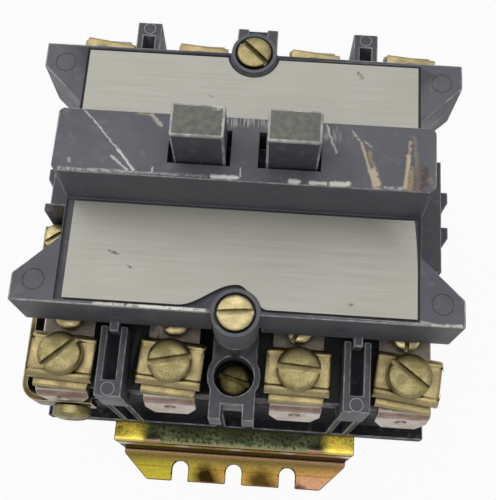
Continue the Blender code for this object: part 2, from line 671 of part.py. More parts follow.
def strap_mesh(terminal_x, contact_x, terminal_y, drop):
    """Stationary contact strap of one pole end, drawn for the load end about the world origin."""
    half = STRAP_W / 2
    slim = CONTACT_STRAP_W / 2
    fold_y = -STRAP_FACE + STRAP_FOLD_LAP
    right = [(terminal_x + half, fold_y), (terminal_x + half, -STRAP_JOG_OUT),
             (contact_x + slim, -STRAP_JOG_IN), (contact_x + slim, -STRAP_IN)]
    left = [(contact_x - slim, -STRAP_IN), (contact_x - slim, -STRAP_JOG_IN),
            (terminal_x - half, -STRAP_JOG_OUT), (terminal_x - half, fold_y)]
    base = prism(right + left, STRAP_Z, STRAP_TOP)
    low = STRAP_TOP - STRAP_BEND - drop
    foot_y = -STRAP_EDGE - STRAP_LEAN * drop
    fold = [(fold_y + TIP_ROOT, STRAP_Z), (fold_y + TIP_ROOT, STRAP_TOP),
            (-STRAP_EDGE + STRAP_BEND, STRAP_TOP), (-STRAP_EDGE, STRAP_TOP - STRAP_BEND),
            (foot_y, low), (foot_y + STRAP_T, low), (-STRAP_FACE, STRAP_Z)]
    adds = [section(fold, terminal_x - half, terminal_x + half)]
    adds.append(disc(TIP_R, STRAP_TOP - TIP_ROOT, TIP_TOP, contact_x, -CONTACT_Y))
    cuts = [disc(SHANK_R + SHANK_CLEAR, STRAP_Z - LAP, STRAP_TOP + LAP, terminal_x, -terminal_y)]
    cuts.append(disc(SMALL_SHANK_R + SHANK_CLEAR, STRAP_Z - LAP, STRAP_TOP + LAP, terminal_x,
                     -terminal_y + CONTACT_SCREW_IN, 16))
    cuts.append(rod(STRAP_HOLE_R, 4 * STRAP_T, (terminal_x, -STRAP_EDGE, low + drop / 2), "Y", 16))
    for sign in (-1, 1):
        edge = terminal_x + sign * half
        corner = [(edge - sign * STRAP_TAPER, low - LAP), (edge + sign * LAP, low - LAP),
                  (edge + sign * LAP, low + STRAP_TAPER_H), (edge, low + STRAP_TAPER_H)]
        cuts.append(wedge(corner, foot_y - LAP, -STRAP_FACE + LAP))
    return cut(base, adds, cuts)


def clamp_mesh(rise, plate_out):
    """Saddle clamp over a wire plate, drawn for the load end with its underside at z = 0."""
    saddle_z = WIRE_PLATE_T + rise
    half_w = WIRE_PLATE_W / 2
    base = box(-half_w, half_w, -plate_out, WIRE_PLATE_IN, 0.0, WIRE_PLATE_T)
    adds = [block(CLAMP_WEB_W, CLAMP_WEB_L, WIRE_PLATE_T - CLAMP_WEB_LAP, saddle_z + CLAMP_WEB_LAP)]
    adds.append(block(CLAMP_W, CLAMP_L, saddle_z, saddle_z + CLAMP_T, 0.0, -CLAMP_SHIFT))
    for sign in (-1, 1):
        edge = sign * CLAMP_L / 2 - CLAMP_SHIFT
        adds.append(rod(LIP_R, CLAMP_W, (0.0, edge, saddle_z + CLAMP_T - LIP_R), "X", 12))
    return cut(base, adds, [disc(SHANK_R + SHANK_CLEAR, -LAP, saddle_z + CLAMP_T + LAP)])


def screw_mesh(head_r, head_h, shank_r, shank_l, slot_w=DRIVER_SLOT_W, slot_d=DRIVER_SLOT_D, sides=20):
    """Slotted screw about the Z axis with the underside of its head at z = 0."""
    base = disc(head_r, 0.0, head_h - CROWN, sides=sides)
    adds = [disc(head_r, head_h - CROWN - CROWN_LAP, head_h, sides=sides, top_radius=head_r - CROWN)]
    adds.append(disc(shank_r, -shank_l, GAP, sides=12))
    slot = box(-head_r - LAP, head_r + LAP, -slot_w / 2, slot_w / 2, head_h - slot_d, head_h + LAP)
    return cut(base, adds, [slot])


def crossbar_mesh():
    """Contact carrier: bar with a window for each bridge, two stems down and two posts out of the cover."""
    base = block(CROSSBAR_W, CROSSBAR_L, CROSSBAR_Z, CROSSBAR_ROOF)
    adds = []
    cuts = [rod(PIN_R + PIN_CLEAR, PIN_L + 2 * LAP, (0, 0, PIN_Z), "X")]
    for sign in (-1, 1):
        post_x = sign * (POST_IN + POST_W / 2) + POST_SHIFT
        adds.append(block(POST_W, POST_L, CROSSBAR_ROOF - LAP, POST_TOP, post_x))
        adds.append(block(STEM_W, STEM_L, STEM_Z, CROSSBAR_Z + LAP, sign * STEM_X))
    for x in CONTACT_X:
        cuts.append(block(BRIDGE_W + 2 * GAP, CROSSBAR_L + 2 * LAP, SILL_TOP, WINDOW_ROOF, x))
    return cut(base, adds, cuts)


def bridge_mesh():
    """Moving contact bridge about its spring's axis, with a silver button under each end."""
    reach = CONTACT_Y + TIP_R + BRIDGE_EDGE
    base = block(BRIDGE_W, 2 * reach, BRIDGE_BAR_Z, BRIDGE_TOP)
    tips = [disc(TIP_R, BRIDGE_Z, BRIDGE_BAR_Z + TIP_ROOT, 0, sign * CONTACT_Y) for sign in (-1, 1)]
    return cut(base, tips)


def armature_mesh():
    """Laminated armature bar with spring ears, stem pockets and the hole of its cross pin."""
    base = block(ARMATURE_W, ARMATURE_L, ARMATURE_Z, ARMATURE_TOP)
    adds = [block(EAR_SPAN, EAR_L, EAR_Z, ARMATURE_TOP)]
    cuts = [rod(PIN_R + PIN_CLEAR, EAR_SPAN + 2 * LAP, (0, 0, PIN_Z), "X")]
    for sign in (-1, 1):
        cuts.append(block(STEM_W + 2 * GAP, STEM_L + 2 * GAP, STEM_Z - GAP, ARMATURE_TOP + LAP,
                          sign * STEM_X))
    return cut(base, adds, cuts)


def core_mesh():
    """E-shaped stationary magnet with three pole faces."""
    base = block(CORE_W, CORE_L, CORE_Z, CORE_Z + CORE_YOKE_T)
    outer = CORE_W / 2 - CORE_LEG_W / 2
    adds = [block(CORE_MID_W, CORE_L, CORE_Z, POLE_FACE_Z)]
    for sign in (-1, 1):
        adds.append(block(CORE_LEG_W, CORE_L, CORE_Z, POLE_FACE_Z, sign * outer))
    return cut(base, adds)


def coil_mesh():
    """Encapsulated coil round the magnet's middle leg."""
    base = block(COIL_W, COIL_L, COIL_Z, COIL_TOP)
    hole = block(CORE_MID_W + 2 * GAP, CORE_L + 2 * GAP, COIL_Z - LAP, COIL_TOP + LAP)
    return cut(base, [], [hole])


def spring_mesh(radius, wire, turns, z0, z1, points_per_turn=10, sides=6):
    """Round wire wound as one helix about the Z axis between two levels."""
    count = turns * points_per_turn
    low = z0 + wire / 2
    high = z1 - wire / 2
    bm = bmesh.new()
    rings = []
    for i in range(count + 1):
        angle = 2 * math.pi * i / points_per_turn
        out = Vector((math.cos(angle), math.sin(angle), 0.0))
        centre = out * radius + Vector((0.0, 0.0, low + (high - low) * i / count))
        ring = []
        for k in range(sides):
            turn = 2 * math.pi * k / sides
            spot = centre + (out * math.cos(turn) + Vector((0.0, 0.0, math.sin(turn)))) * wire / 2
            ring.append(bm.verts.new(spot * MM))
        rings.append(ring)
    for ring, after in zip(rings, rings[1:]):
        for k in range(sides):
            bm.faces.new((ring[k], ring[(k + 1) % sides], after[(k + 1) % sides], after[k]))
    bm.faces.new(rings[0])
    bm.faces.new(rings[-1])
    print("spring gap between turns, mm:", round((high - low) / turns - wire, 3))
    return cut(mesh_object(bm))


def jumper_mesh():
    """Bent brass strip from the coil terminal's shelf, down the left side and along the load end."""
    x_in = -HOUSING_W / 2 - SHELF_W - GAP
    x_out = x_in - JUMPER_T
    y_in = -JUMPER_SEAT - GAP
    y_out = y_in - JUMPER_T
    x_end = x_in + JUMPER_RUN
    x_turn = x_in + JUMPER_CORNER
    y_turn = y_in + JUMPER_CORNER
    tab_low = SHELF_Y - JUMPER_TAB_L / 2
    tab_high = SHELF_Y + JUMPER_TAB_L / 2
    outer = [(x_out, tab_high), (x_out, y_turn), (x_turn - JUMPER_T, y_out), (x_end, y_out)]
    inner = [(x_end, y_in), (x_turn - JUMPER_T / 2, y_in), (x_in, y_turn), (x_in, tab_high)]
    base = prism(outer + inner, JUMPER_TOP - JUMPER_DEPTH, JUMPER_TOP)
    tab_z = SHELF_TOP + GAP
    tab = box(x_out, SHELF_X + JUMPER_TAB_REACH, tab_low, tab_high, tab_z, tab_z + JUMPER_T)
    cuts = [disc(SMALL_SHANK_R + SHANK_CLEAR, tab_z - LAP, tab_z + JUMPER_T + LAP, SHELF_X, SHELF_Y, 16)]
    cuts.append(rod(SMALL_SHANK_R + SHANK_CLEAR, 4 * JUMPER_T, (JUMPER_HOLE_X, y_in, JUMPER_MID_Z), "Y", 16))
    return cut(base, [tab], cuts)


def build_fixed_pieces():
    """Bracket, housing, magnet, block, cover, plates and their screws."""
    node("mounting_bracket", bracket_mesh(), ZINC)
    node("magnet_housing", housing_mesh(), PHENOLIC)
    node("magnet_core", core_mesh(), LAMINATION)
    node("coil", coil_mesh(), WINDING)
    node("contact_block", contact_block_mesh(), PHENOLIC)
    node("front_cover", cover_mesh(), PHENOLIC)
    plate_z = FLANGE_Z - PLATE_RECESS + GAP
    for name, side, trim in (("upper_nameplate", 1, 0.0), ("lower_nameplate", -1, LOWER_PLATE_TRIM)):
        outline = nameplate_outline(side, trim=trim)
        node(name, cut(prism(outline, plate_z, plate_z + PLATE_SHEET)), ALUMINIUM)
    cover_screw = screw_mesh(COVER_HEAD_R, COVER_HEAD_H, SHANK_R, COVER_SHANK_L)
    block_shank_l = BLOCK_SCREW_SEAT - PLATFORM_RISE + BLOCK_SHANK_PAST
    block_screw = screw_mesh(BLOCK_HEAD_R, COVER_HEAD_H, SHANK_R, block_shank_l)
    for end, side in (("line", 1), ("load", -1)):
        node("cover_screw_" + end, cover_screw, BRASS, (0, side * BOSS_Y, COVER_SCREW_SEAT + GAP),
             COVER_SLOT_TURN[end])
        node("block_screw_" + end, block_screw, BRASS, (0, side * COLUMN_HOLE_Y, BLOCK_SCREW_SEAT + GAP),
             BLOCK_SLOT_TURN)


def build_terminals(end, side, terminal_y, rise, plate_out, slot_turns, clamp_turns):
    """Straps, clamps, terminal screws and contact screws of the four poles at one end."""
    clamp = clamp_mesh(rise, plate_out)
    seat = CLAMP_Z + WIRE_PLATE_T + rise + CLAMP_T + GAP
    screw = screw_mesh(TERM_HEAD_R, TERM_HEAD_H, SHANK_R, seat - TERMINAL_SHANK_Z)
    small = screw_mesh(SMALL_HEAD_R, SMALL_HEAD_H, SMALL_SHANK_R, SMALL_SHANK_L,
                       SMALL_SLOT, SMALL_SLOT, sides=12)
    facing = 0.0 if side < 0 else 180.0
    for i, x in enumerate(TERMINAL_X):
        mark = end + "_" + str(i + 1)
        over_jumper = side < 0 and abs(x - JUMPER_HOLE_X) < JUMPER_RUN / 2
        drop = STRAP_DROP_BY_JUMPER if over_jumper else STRAP_DROP
        strap = strap_mesh(-side * x, -side * CONTACT_X[i], terminal_y, drop)
        node("strap_" + mark, strap, COPPER, turn=facing)
        node("clamp_" + mark, clamp, BRASS, (x, side * terminal_y, CLAMP_Z), facing + clamp_turns[i])
        node("terminal_screw_" + mark, screw, BRASS, (x, side * terminal_y, seat), slot_turns[i])
        node("contact_screw_" + mark, small, BRASS,
             (x, side * (terminal_y - CONTACT_SCREW_IN), STRAP_TOP + GAP), CONTACT_SLOT_STEP * i)


def build_moving_pieces():
    """Crossbar, armature and pin on the closing slide; bridges and springs that ride with them."""
    carrier = guide("carrier_axis", (0.0, 0.0, ARMATURE_Z))
    node("crossbar", crossbar_mesh(), PHENOLIC, parent=carrier)
    node("armature", armature_mesh(), LAMINATION, parent=carrier)
    pin = rod(PIN_R, PIN_L, (0, 0, PIN_Z), "X")
    node("armature_pin", cut(pin), STEEL, parent=carrier)
    bridge = bridge_mesh()
    spring = spring_mesh(CONTACT_SPRING_R, CONTACT_WIRE, CONTACT_TURNS, BRIDGE_TOP + GAP, WINDOW_ROOF - GAP)
    for i, x in enumerate(CONTACT_X):
        axis = guide("bridge_axis_" + str(i + 1), (x, 0.0, BRIDGE_Z))
        node("contact_bridge_" + str(i + 1), bridge, COPPER, (x, 0, 0), parent=axis)
        node("contact_spring_" + str(i + 1), spring, STEEL, (x, 0, 0), parent=axis)
    back = spring_mesh(RETURN_R, RETURN_WIRE, RETURN_TURNS, RETURN_Z, RETURN_TOP)
    for name, side in (("return_spring_left", -1), ("return_spring_right", 1)):
        node(name, back, STEEL, (side * RETURN_X, 0, 0))


def build_coil_terminal():
    """Jumper strip and the two screws that hold it."""
    node("coil_jumper", jumper_mesh(), BRASS)
    head = screw_mesh(COIL_HEAD_R, COIL_HEAD_H, SMALL_SHANK_R, COIL_SHANK_L, SMALL_SLOT, SMALL_SLOT)
    seat_z = SHELF_TOP + GAP + JUMPER_T + GAP
    node("coil_terminal_screw", head, BRASS, (SHELF_X, SHELF_Y, seat_z), COIL_SLOT_TURN)
    side = screw_mesh(JUMPER_HEAD_R, JUMPER_HEAD_H, SMALL_SHANK_R, JUMPER_SHANK_L)
    seat_y = -JUMPER_SEAT - GAP - JUMPER_T - GAP
    held = node("jumper_screw", side, BRASS, (JUMPER_HOLE_X, seat_y, JUMPER_MID_Z))
    held.rotation_euler = (math.radians(90), 0.0, 0.0)


clear_scene()
build_fixed_pieces()
build_terminals("load", -1, LOAD_TERMINAL_Y, LOAD_RISE, LOAD_PLATE_OUT, LOAD_SLOT_TURN, LOAD_CLAMP_TURN)
build_terminals("line", 1, LINE_TERMINAL_Y, LINE_RISE, LINE_PLATE_OUT, LINE_SLOT_TURN, LINE_CLAMP_TURN)
build_moving_pieces()
build_coil_terminal()
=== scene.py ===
"""Looks of a four-pole panel-mount contactor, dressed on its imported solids.

Lengths are written in millimetres and turned to metres by MM. Heights are above the panel face.
"""

from collections import namedtuple
import json
import math

import bmesh
import bpy
import numpy as np
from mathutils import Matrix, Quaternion, Vector


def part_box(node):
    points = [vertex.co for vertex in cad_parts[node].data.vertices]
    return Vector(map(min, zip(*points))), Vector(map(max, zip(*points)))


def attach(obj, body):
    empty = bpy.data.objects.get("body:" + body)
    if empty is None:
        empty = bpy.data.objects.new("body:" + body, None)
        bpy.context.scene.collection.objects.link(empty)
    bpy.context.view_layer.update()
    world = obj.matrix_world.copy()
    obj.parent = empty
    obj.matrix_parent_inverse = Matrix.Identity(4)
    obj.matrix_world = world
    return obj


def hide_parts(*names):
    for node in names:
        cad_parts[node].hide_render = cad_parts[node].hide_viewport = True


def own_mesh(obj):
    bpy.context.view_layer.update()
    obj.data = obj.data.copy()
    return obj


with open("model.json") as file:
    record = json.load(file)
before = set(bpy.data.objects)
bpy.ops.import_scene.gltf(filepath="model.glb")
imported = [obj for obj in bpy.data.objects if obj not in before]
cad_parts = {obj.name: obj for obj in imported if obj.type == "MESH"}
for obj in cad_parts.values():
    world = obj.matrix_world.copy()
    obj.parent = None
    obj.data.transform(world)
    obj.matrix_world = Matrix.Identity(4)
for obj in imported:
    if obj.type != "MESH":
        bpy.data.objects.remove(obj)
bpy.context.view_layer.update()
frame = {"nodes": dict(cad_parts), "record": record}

MM = 0.001
NODES = frame["nodes"]
BODY_OF = {node: body for body, nodes in frame["record"]["behaviour"]["bodies"].items() for node in nodes}
ENDS = ("load", "line")
POLES = (1, 2, 3, 4)
SIDES = (-1, 1)


def limits(node):
    """Lowest and highest corner of a solid in millimetres."""
    low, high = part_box(node)
    return np.array(low) / MM, np.array(high) / MM


FLANGE_Z = limits("lower_nameplate")[1][2]
BAR_Z = limits("front_cover")[1][2]
BAR_FRONT_Y = -6.6
POST_Z = limits("crossbar")[1][2]
STRAP_Z = limits("strap_load_1")[1][2]
COVER_SCREW_Y = 28.6
# Box of the terminal pockets, up to their floor and out to the columns' faces, painted near black as painted
# shade
POCKET_Z = 60.0
POCKET_X = 39.6
POCKET_Y = 42.4
# Bracket
BRACKET_SHEET = 1.6
BRACKET_WALL_Y = 47.6
FOOT_SHOULDER_Y = 49.4
FOOT_TIP_HALF = 23.7
FOOT_SLOT_PITCH = 14.7
FOOT_SLOT_R = 2.2
FOOT_SLOT_DEPTH = 3.2
DART_X = 20.6
DART_HALF = 1.9
DART_REACH = 1.4
DART_LIFT = 0.15


# Colour and shader helpers

def linear(code):
    """sRGB hex colour to linear red, green, blue and alpha."""
    parts = np.array([int(code[i:i + 2], 16) for i in (1, 3, 5)]) / 255.0
    low = parts / 12.92
    high = ((parts + 0.055) / 1.055) ** 2.4
    return (*np.where(parts <= 0.04045, low, high).tolist(), 1.0)


def per_mm(size):
    """Texture scale that repeats about once in a size given in millimetres."""
    return 1.0 / (size * MM)


def add(tree, kind, inputs=None, out=0, **settings):
    """Add one shader node and return one of its outputs; inputs given as sockets are linked, others set."""
    made = tree.nodes.new("ShaderNode" + kind)
    for key, value in settings.items():
        setattr(made, key, value)
    for key, value in (inputs or {}).items():
        if isinstance(value, bpy.types.NodeSocket):
            tree.links.new(value, made.inputs[key])
        else:
            made.inputs[key].default_value = value
    return made.outputs[out]


def new_material(name, metallic):
    """Material with a Principled shader; returns it with its node tree, shader and object coordinates."""
    made = bpy.data.materials.new(name)
    made.use_nodes = True
    tree = made.node_tree
    shader = tree.nodes["Principled BSDF"]
    shader.inputs["Metallic"].default_value = metallic
    return made, tree, shader, add(tree, "TexCoord", out="Object")


def noise(tree, place, size, detail=3.0, low=0.35, high=0.65, stretch=(1, 1, 1), turn=(0, 0, 0)):
    """Cloudy mask from 0 to 1 whose patches are about a size in millimetres."""
    mapped = add(tree, "Mapping", {"Vector": place, "Scale": stretch, "Rotation": turn})
    field = add(tree, "TexNoise", {"Vector": mapped, "Scale": per_mm(size), "Detail": detail})
    return add(tree, "MapRange", {"Value": field, "From Min": low, "From Max": high})


def times(tree, mask, *others):
    """Product of a mask with further masks or numbers."""
    for other in others:
        mask = add(tree, "Math", {0: mask, 1: other}, operation="MULTIPLY")
    return mask


def tint(tree, mask, under, over, share=1.0):
    """Colour that goes from under to a share of over with a mask; each colour is a hex code or a socket."""
    if share < 1.0:
        mask = times(tree, mask, share)
    under, over = [linear(colour) if isinstance(colour, str) else colour for colour in (under, over)]
    return add(tree, "Mix", {"Factor": mask, 6: under, 7: over}, 2, data_type="RGBA")


def layered(tree, colour, *layers):
    """Colour with layers laid over it in turn, each a mask, a colour and its share."""
    for mask, over, share in layers:
        colour = tint(tree, mask, colour, over, share)
    return colour


def wobbled(tree, place, size, reach):
    """Place pushed about by a noise of a size, up to half a reach each way, both in millimetres."""
    cloud = add(tree, "TexNoise", {"Vector": place, "Scale": per_mm(size), "Detail": 3.0}, "Color")
    shift = add(tree, "VectorMath", {0: cloud, 1: (0.5, 0.5, 0.5)}, operation="SUBTRACT")
    push = add(tree, "VectorMath", {0: shift, "Scale": reach * MM}, operation="SCALE")
    return add(tree, "VectorMath", {0: place, 1: push}, operation="ADD")


def axis_mask(tree, place, start, end, axis):
    """Mask that climbs from 0 to 1 between two places on an axis, in millimetres."""
    part = add(tree, "SeparateXYZ", {0: place}, axis)
    return add(tree, "MapRange", {"Value": part, "From Min": start * MM, "From Max": end * MM})


def band_mask(tree, place, rise, fall, axis):
    """Mask that climbs between one pair of places on an axis and falls between another, in millimetres."""
    return times(tree, axis_mask(tree, place, *rise, axis), axis_mask(tree, place, *fall[::-1], axis))


def rubbed_edge(tree):
    """Mask of the rounded outer edges, which rounded pieces carry as an attribute of their faces."""
    return add(tree, "Attribute", out="Fac", attribute_name="rubbed_edge")


def corner_shade_mask(tree, reach):
    """Mask of painted shade in enclosed corners, from the open space within a reach in millimetres."""
    open_space = add(tree, "AmbientOcclusion", {"Distance": reach * MM}, "AO", samples=6)
    return add(tree, "MapRange", {"Value": open_space, "From Min": 0.9, "From Max": 0.25})


def line_mask(tree, place, start, end, width):
    """Mask of a straight mark: distance to a segment, in millimetres, against half its width."""
    along = (Vector(end) - Vector(start)) * MM
    away = add(tree, "VectorMath", {0: place, 1: Vector(start) * MM}, operation="SUBTRACT")
    share = add(tree, "VectorMath", {0: away, 1: along / along.length_squared}, "Value",
                operation="DOT_PRODUCT")
    held = add(tree, "Clamp", {"Value": share})
    step = add(tree, "VectorMath", {0: along, "Scale": held}, operation="SCALE")
    gap = add(tree, "VectorMath", {0: away, 1: step}, operation="SUBTRACT")
    size = add(tree, "VectorMath", {0: gap}, "Value", operation="LENGTH")
    half = width * MM / 2
    return add(tree, "MapRange", {"Value": size, "From Min": half, "From Max": half * 0.35})


def cross_line(tree, place, y, z, width):
    """Mask of a straight line right across the bracket, at a place on Y and a height."""
    return line_mask(tree, place, (-30.0, y, z), (30.0, y, z), width)


def finish_shader(tree, shader, colour, rough_mask, rough, bump_mask, bump_height):
    """Link a colour, a roughness range driven by a mask and a fine bump to the shader."""
    spread = add(tree, "MapRange", {"Value": rough_mask, "To Min": rough[0], "To Max": rough[1]})
    relief = add(tree, "Bump", {"Height": bump_mask, "Strength": 0.6, "Distance": bump_height * MM})
    for name, source in (("Base Color", colour), ("Roughness", spread), ("Normal", relief)):
        tree.links.new(source, shader.inputs[name])


# Marks in mm: kind, start, end, width, colour. Scratches are broken lines, chips are solid spots and streaks
# are patches of fine lines along Y. Start and end are x, y and, where it isn't 0, the depth under the face.
BAR_MARKS = (
    ("streak", (-3.2, 5.6), (4.0, 5.8), 2.8, "#aba89f"),
    ("streak", (15.6, 4.4), (19.2, 4.2), 3.8, "#8f8d88"),
    ("scratch", (-31.4, 6.4), (-28.6, 3.6), 0.45, "#aeacad"),
    ("chip", (-29.0, 4.0), (-23.5, -2.1), 0.5, "#b5b3b4"),
    ("chip", (-23.8, -1.7), (-20.6, -5.6), 0.75, "#c6c5be"),
    ("chip", (-25.1, -3.0), (-21.8, -5.6), 0.55, "#bab8b4"),
    ("chip", (-32.9, -4.1), (-32.8, -4.5), 0.9, "#9b9a98"),
    ("scratch", (-34.6, -6.1), (-20.0, -6.0), 0.8, "#a3a2a0"),
    ("scratch", (-20.0, -6.0), (-7.0, -6.0), 0.7, "#8f8e8d"),
    ("scratch", (-21.2, 6.3), (-18.0, 6.0), 0.7, "#8d8377"),
    ("chip", (-18.2, 6.0), (-16.3, 4.0), 1.1, "#a79f93"),
    ("chip", (-17.1, -5.0), (-17.0, -6.0), 0.5, "#b5b3b0"),
    ("chip", (-5.8, -6.0), (-1.1, -5.9), 1.1, "#d8d6d0"),
    ("chip", (-0.7, -3.8), (-0.5, -5.6), 0.4, "#bdbbb6"),
    ("chip", (9.0, -6.0), (10.3, -6.0), 1.4, "#dad8d4"),
    ("chip", (12.7, -6.1), (15.3, -6.0), 1.1, "#cfcdc6"),
    ("chip", (16.6, -6.0), (19.6, -5.9), 1.4, "#d3d4c2"),
    ("chip", (15.3, 6.2), (16.1, 3.4), 0.5, "#b9b5a2"),
    ("chip", (16.1, 3.4), (17.3, 0.4), 0.55, "#a9a79c"),
    ("scratch", (20.1, 5.1), (22.0, 2.7), 0.45, "#a5a29a"),
    ("scratch", (22.4, 3.2), (23.9, 2.0), 0.45, "#9a968a"),
    ("scratch", (23.4, 1.0), (25.6, -5.6), 1.2, "#8a7962"),
    ("chip", (22.0, 2.7), (24.4, -5.6), 0.8, "#b0a28a"),
    ("scratch", (24.2, -3.0), (25.0, -6.0), 2.2, "#bdae97"),
    ("chip", (24.0, BAR_FRONT_Y, 0.9), (26.6, BAR_FRONT_Y, 0.9), 1.6, "#6d6b72"),
    ("scratch", (31.2, 3.5), (30.8, -2.0), 0.9, "#9c8f78"),
    ("chip", (30.9, 0.5), (30.3, -5.8), 1.1, "#b5a78f"),
    ("scratch", (31.4, -2.0), (31.1, -6.0), 1.5, "#94805c"),
    ("scratch", (31.9, 4.4), (32.6, -3.0), 1.1, "#777065"),
    ("scratch", (32.8, -2.0), (32.6, -6.0), 1.6, "#6f6258"),
    ("scratch", (33.8, -2.1), (33.7, -5.9), 2.2, "#52403f"),
    ("scratch", (35.0, -4.0), (36.0, -5.6), 1.4, "#777166"),
    ("chip", (33.0, BAR_FRONT_Y, 0.9), (35.2, BAR_FRONT_Y, 0.9), 1.6, "#5a585c"),
    ("scratch", (26.6, -6.1), (30.2, -6.1), 0.8, "#a8a6a2"),
)
FLANGE_MARKS = (
    ("scratch", (-27.0, -28.6), (-6.5, -28.6), 2.4, "#cfcbbf"),
    ("scratch", (-18.0, -28.4), (-9.0, -28.5), 1.8, "#dedbd0"),
    ("scratch", (-40.0, -28.8), (-6.5, -28.8, 0.3), 0.9, "#a9a7a1"),
    ("scratch", (38.0, -28.5), (43.5, -28.3), 0.9, "#c5c1b9"),
)
POST_MARKS = (
    ("scratch", (-5.4, 2.7), (-3.7, 3.1, 0.3), 1.7, "#bdbbb2"),
    ("chip", (-3.6, -2.9), (-3.6, 0.5, 0.2), 0.9, "#c4c3b8"),
)
# Dark spots on the nameplates, all of one kind
PLATE_STAINS = (
    ((-25.9, -17.4), (-24.0, -18.1), 0.8, "#3d3a36"),
    ((-22.0, -20.0), (-21.2, -20.7), 0.6, "#45423c"),
    ((22.3, 25.6), (23.1, 24.5), 1.2, "#5e5b4c"),
    ((21.8, -25.4), (22.4, -25.3), 0.9, "#6b4a40"),
)


def face_mark(tree, place, top, start, end, width):
    """Line mask of a mark on a face at a height, which the depth of its start and end is taken from."""
    spots = [(*spot, 0.0)[:3] for spot in (start, end)]
    return line_mask(tree, place, *[(x, y, top - depth) for x, y, depth in spots], width)


def add_marks(tree, place, colour, faces):
    """Colour with the marks of faces laid over it, on a place that a fine noise pushes about."""
    moved = wobbled(tree, place, 0.9, 0.7)
    broken = {"scratch": noise(tree, place, 0.8, 4.0, 0.34, 0.5),
              "streak": noise(tree, place, 0.4, 2.0, 0.5, 0.62, stretch=(1.0, 0.08, 1.0))}
    for top, marks in faces:
        for kind, start, end, width, code in marks:
            mark = face_mark(tree, moved, top, start, end, width)
            if kind in broken:
                mark = times(tree, mark, broken[kind])
            colour = tint(tree, mark, colour, code, 0.92)
    return colour


def moulded_phenolic(name, dark, bloom, edge_wear, marked=(), worn_top=None, pocket_z=None, gloss=0.25):
    """Moulded black phenolic: dull bloom, thin pale rubbed edges, scratches and chips that show the filler.

    A worn top is a height in millimetres above which the skin is rubbed to a mottled yellow-grey. Up to the
    height of the terminal pockets' floor, and inside the columns' faces, the skin is painted near black as
    painted shade.
    The filler's grain is drawn half a millimetre wide, coarser than it is, so that it shows.
    """
    made, tree, shader, place = new_material(name, 0.0)
    cloud = noise(tree, place, 9.0, 4.0)
    grain = noise(tree, place, 0.5, 2.0, 0.2, 0.8)
    dust = noise(tree, place, 2.2, 5.0, 0.56, 0.74)
    colour = tint(tree, dust, tint(tree, cloud, dark, bloom), "#7d7c80", 0.3)
    if pocket_z is not None:
        # Painted shade: the pocket floors and the walls under them, inside the columns' faces, go near black
        pocket_shade = axis_mask(tree, place, pocket_z + 0.4, pocket_z, "Z")
        for axis, reach in (("X", POCKET_X), ("Y", POCKET_Y)):
            border = reach * 1.01
            inside = band_mask(tree, place, (-border, -reach), (reach, border), axis)
            pocket_shade = times(tree, pocket_shade, inside)
        colour = tint(tree, pocket_shade, colour, "#060608", 0.9)
    if worn_top is not None:
        worn = axis_mask(tree, place, worn_top - 0.9, worn_top - 0.2, "Z")
        mottle = noise(tree, place, 1.2, 6.0, 0.3, 0.75)
        colour = tint(tree, worn, colour, tint(tree, mottle, "#55544f", "#757468"), 0.85)
    patchy = add(tree, "MapRange", {"Value": noise(tree, place, 1.6, 4.0, 0.4, 0.68), "To Min": 0.35})
    colour = tint(tree, times(tree, rubbed_edge(tree), patchy), colour, "#c0bebb", edge_wear)
    if marked:
        colour = add_marks(tree, place, colour, marked)
    shader.inputs["IOR"].default_value = 1.55
    shader.inputs["Specular IOR Level"].default_value = gloss
    finish_shader(tree, shader, colour, cloud, (0.42, 0.58), grain, 0.015)
    return made


def aged_metal(name, bright, dull, dirt_and_shade, size=2.5, shade_reach=1.4, speckle=0.35, edge_wear=0.35,
               edge_colour=None):
    """Aged metal: bright and dull patches, a dark speckle, painted shade in enclosed corners, pale rubbed
    edges.
    """
    made, tree, shader, place = new_material(name, 1.0)
    patch = noise(tree, place, size, 4.0, 0.38, 0.62)
    fine = noise(tree, place, 0.35, 2.0, 0.35, 0.75)
    colour = layered(tree, tint(tree, patch, bright, dull),
                     (fine, dirt_and_shade, speckle),
                     # Painted shade: enclosed corners darkened where shade falls
                     (corner_shade_mask(tree, shade_reach), dirt_and_shade, 0.8),
                     (rubbed_edge(tree), edge_colour or bright, edge_wear))
    finish_shader(tree, shader, colour, patch, (0.3, 0.46), fine, 0.02)
    return made


def strap_alloy():
    """Tarnished copper alloy: grey-brown on top and darker there as a painted shadow of the clamps, rosy
    round the bend, painted pale on the lower ends as painted light, and painted shade in the corners.
    """
    made, tree, shader, place = new_material("tarnished_copper_alloy", 0.55)
    patch = noise(tree, place, 3.0, 4.0, 0.38, 0.62)
    fine = noise(tree, place, 0.4, 3.0, 0.45, 0.75)
    # Painted light: the top is darker as a painted shadow of the clamp, and the lower ends are paler where
    # they face the light
    top = tint(tree, patch, "#93897c", "#796f64")
    pale = tint(tree, patch, "#d1c8bd", "#c6b8a9")
    rosy = tint(tree, patch, "#977a6c", "#866759")
    end = tint(tree, axis_mask(tree, place, STRAP_Z - 3.7, STRAP_Z - 4.3, "Z"), rosy, pale)
    colour = layered(tree, top,
                     (axis_mask(tree, place, STRAP_Z - 1.7, STRAP_Z - 2.1, "Z"), end, 1.0),
                     (fine, "#4a3930", 0.4),
                     # Painted shade in the corners
                     (corner_shade_mask(tree, 1.4), "#32261f", 0.7),
                     (rubbed_edge(tree), "#b8aca2", 0.5))
    finish_shader(tree, shader, colour, patch, (0.36, 0.52), fine, 0.02)
    return made


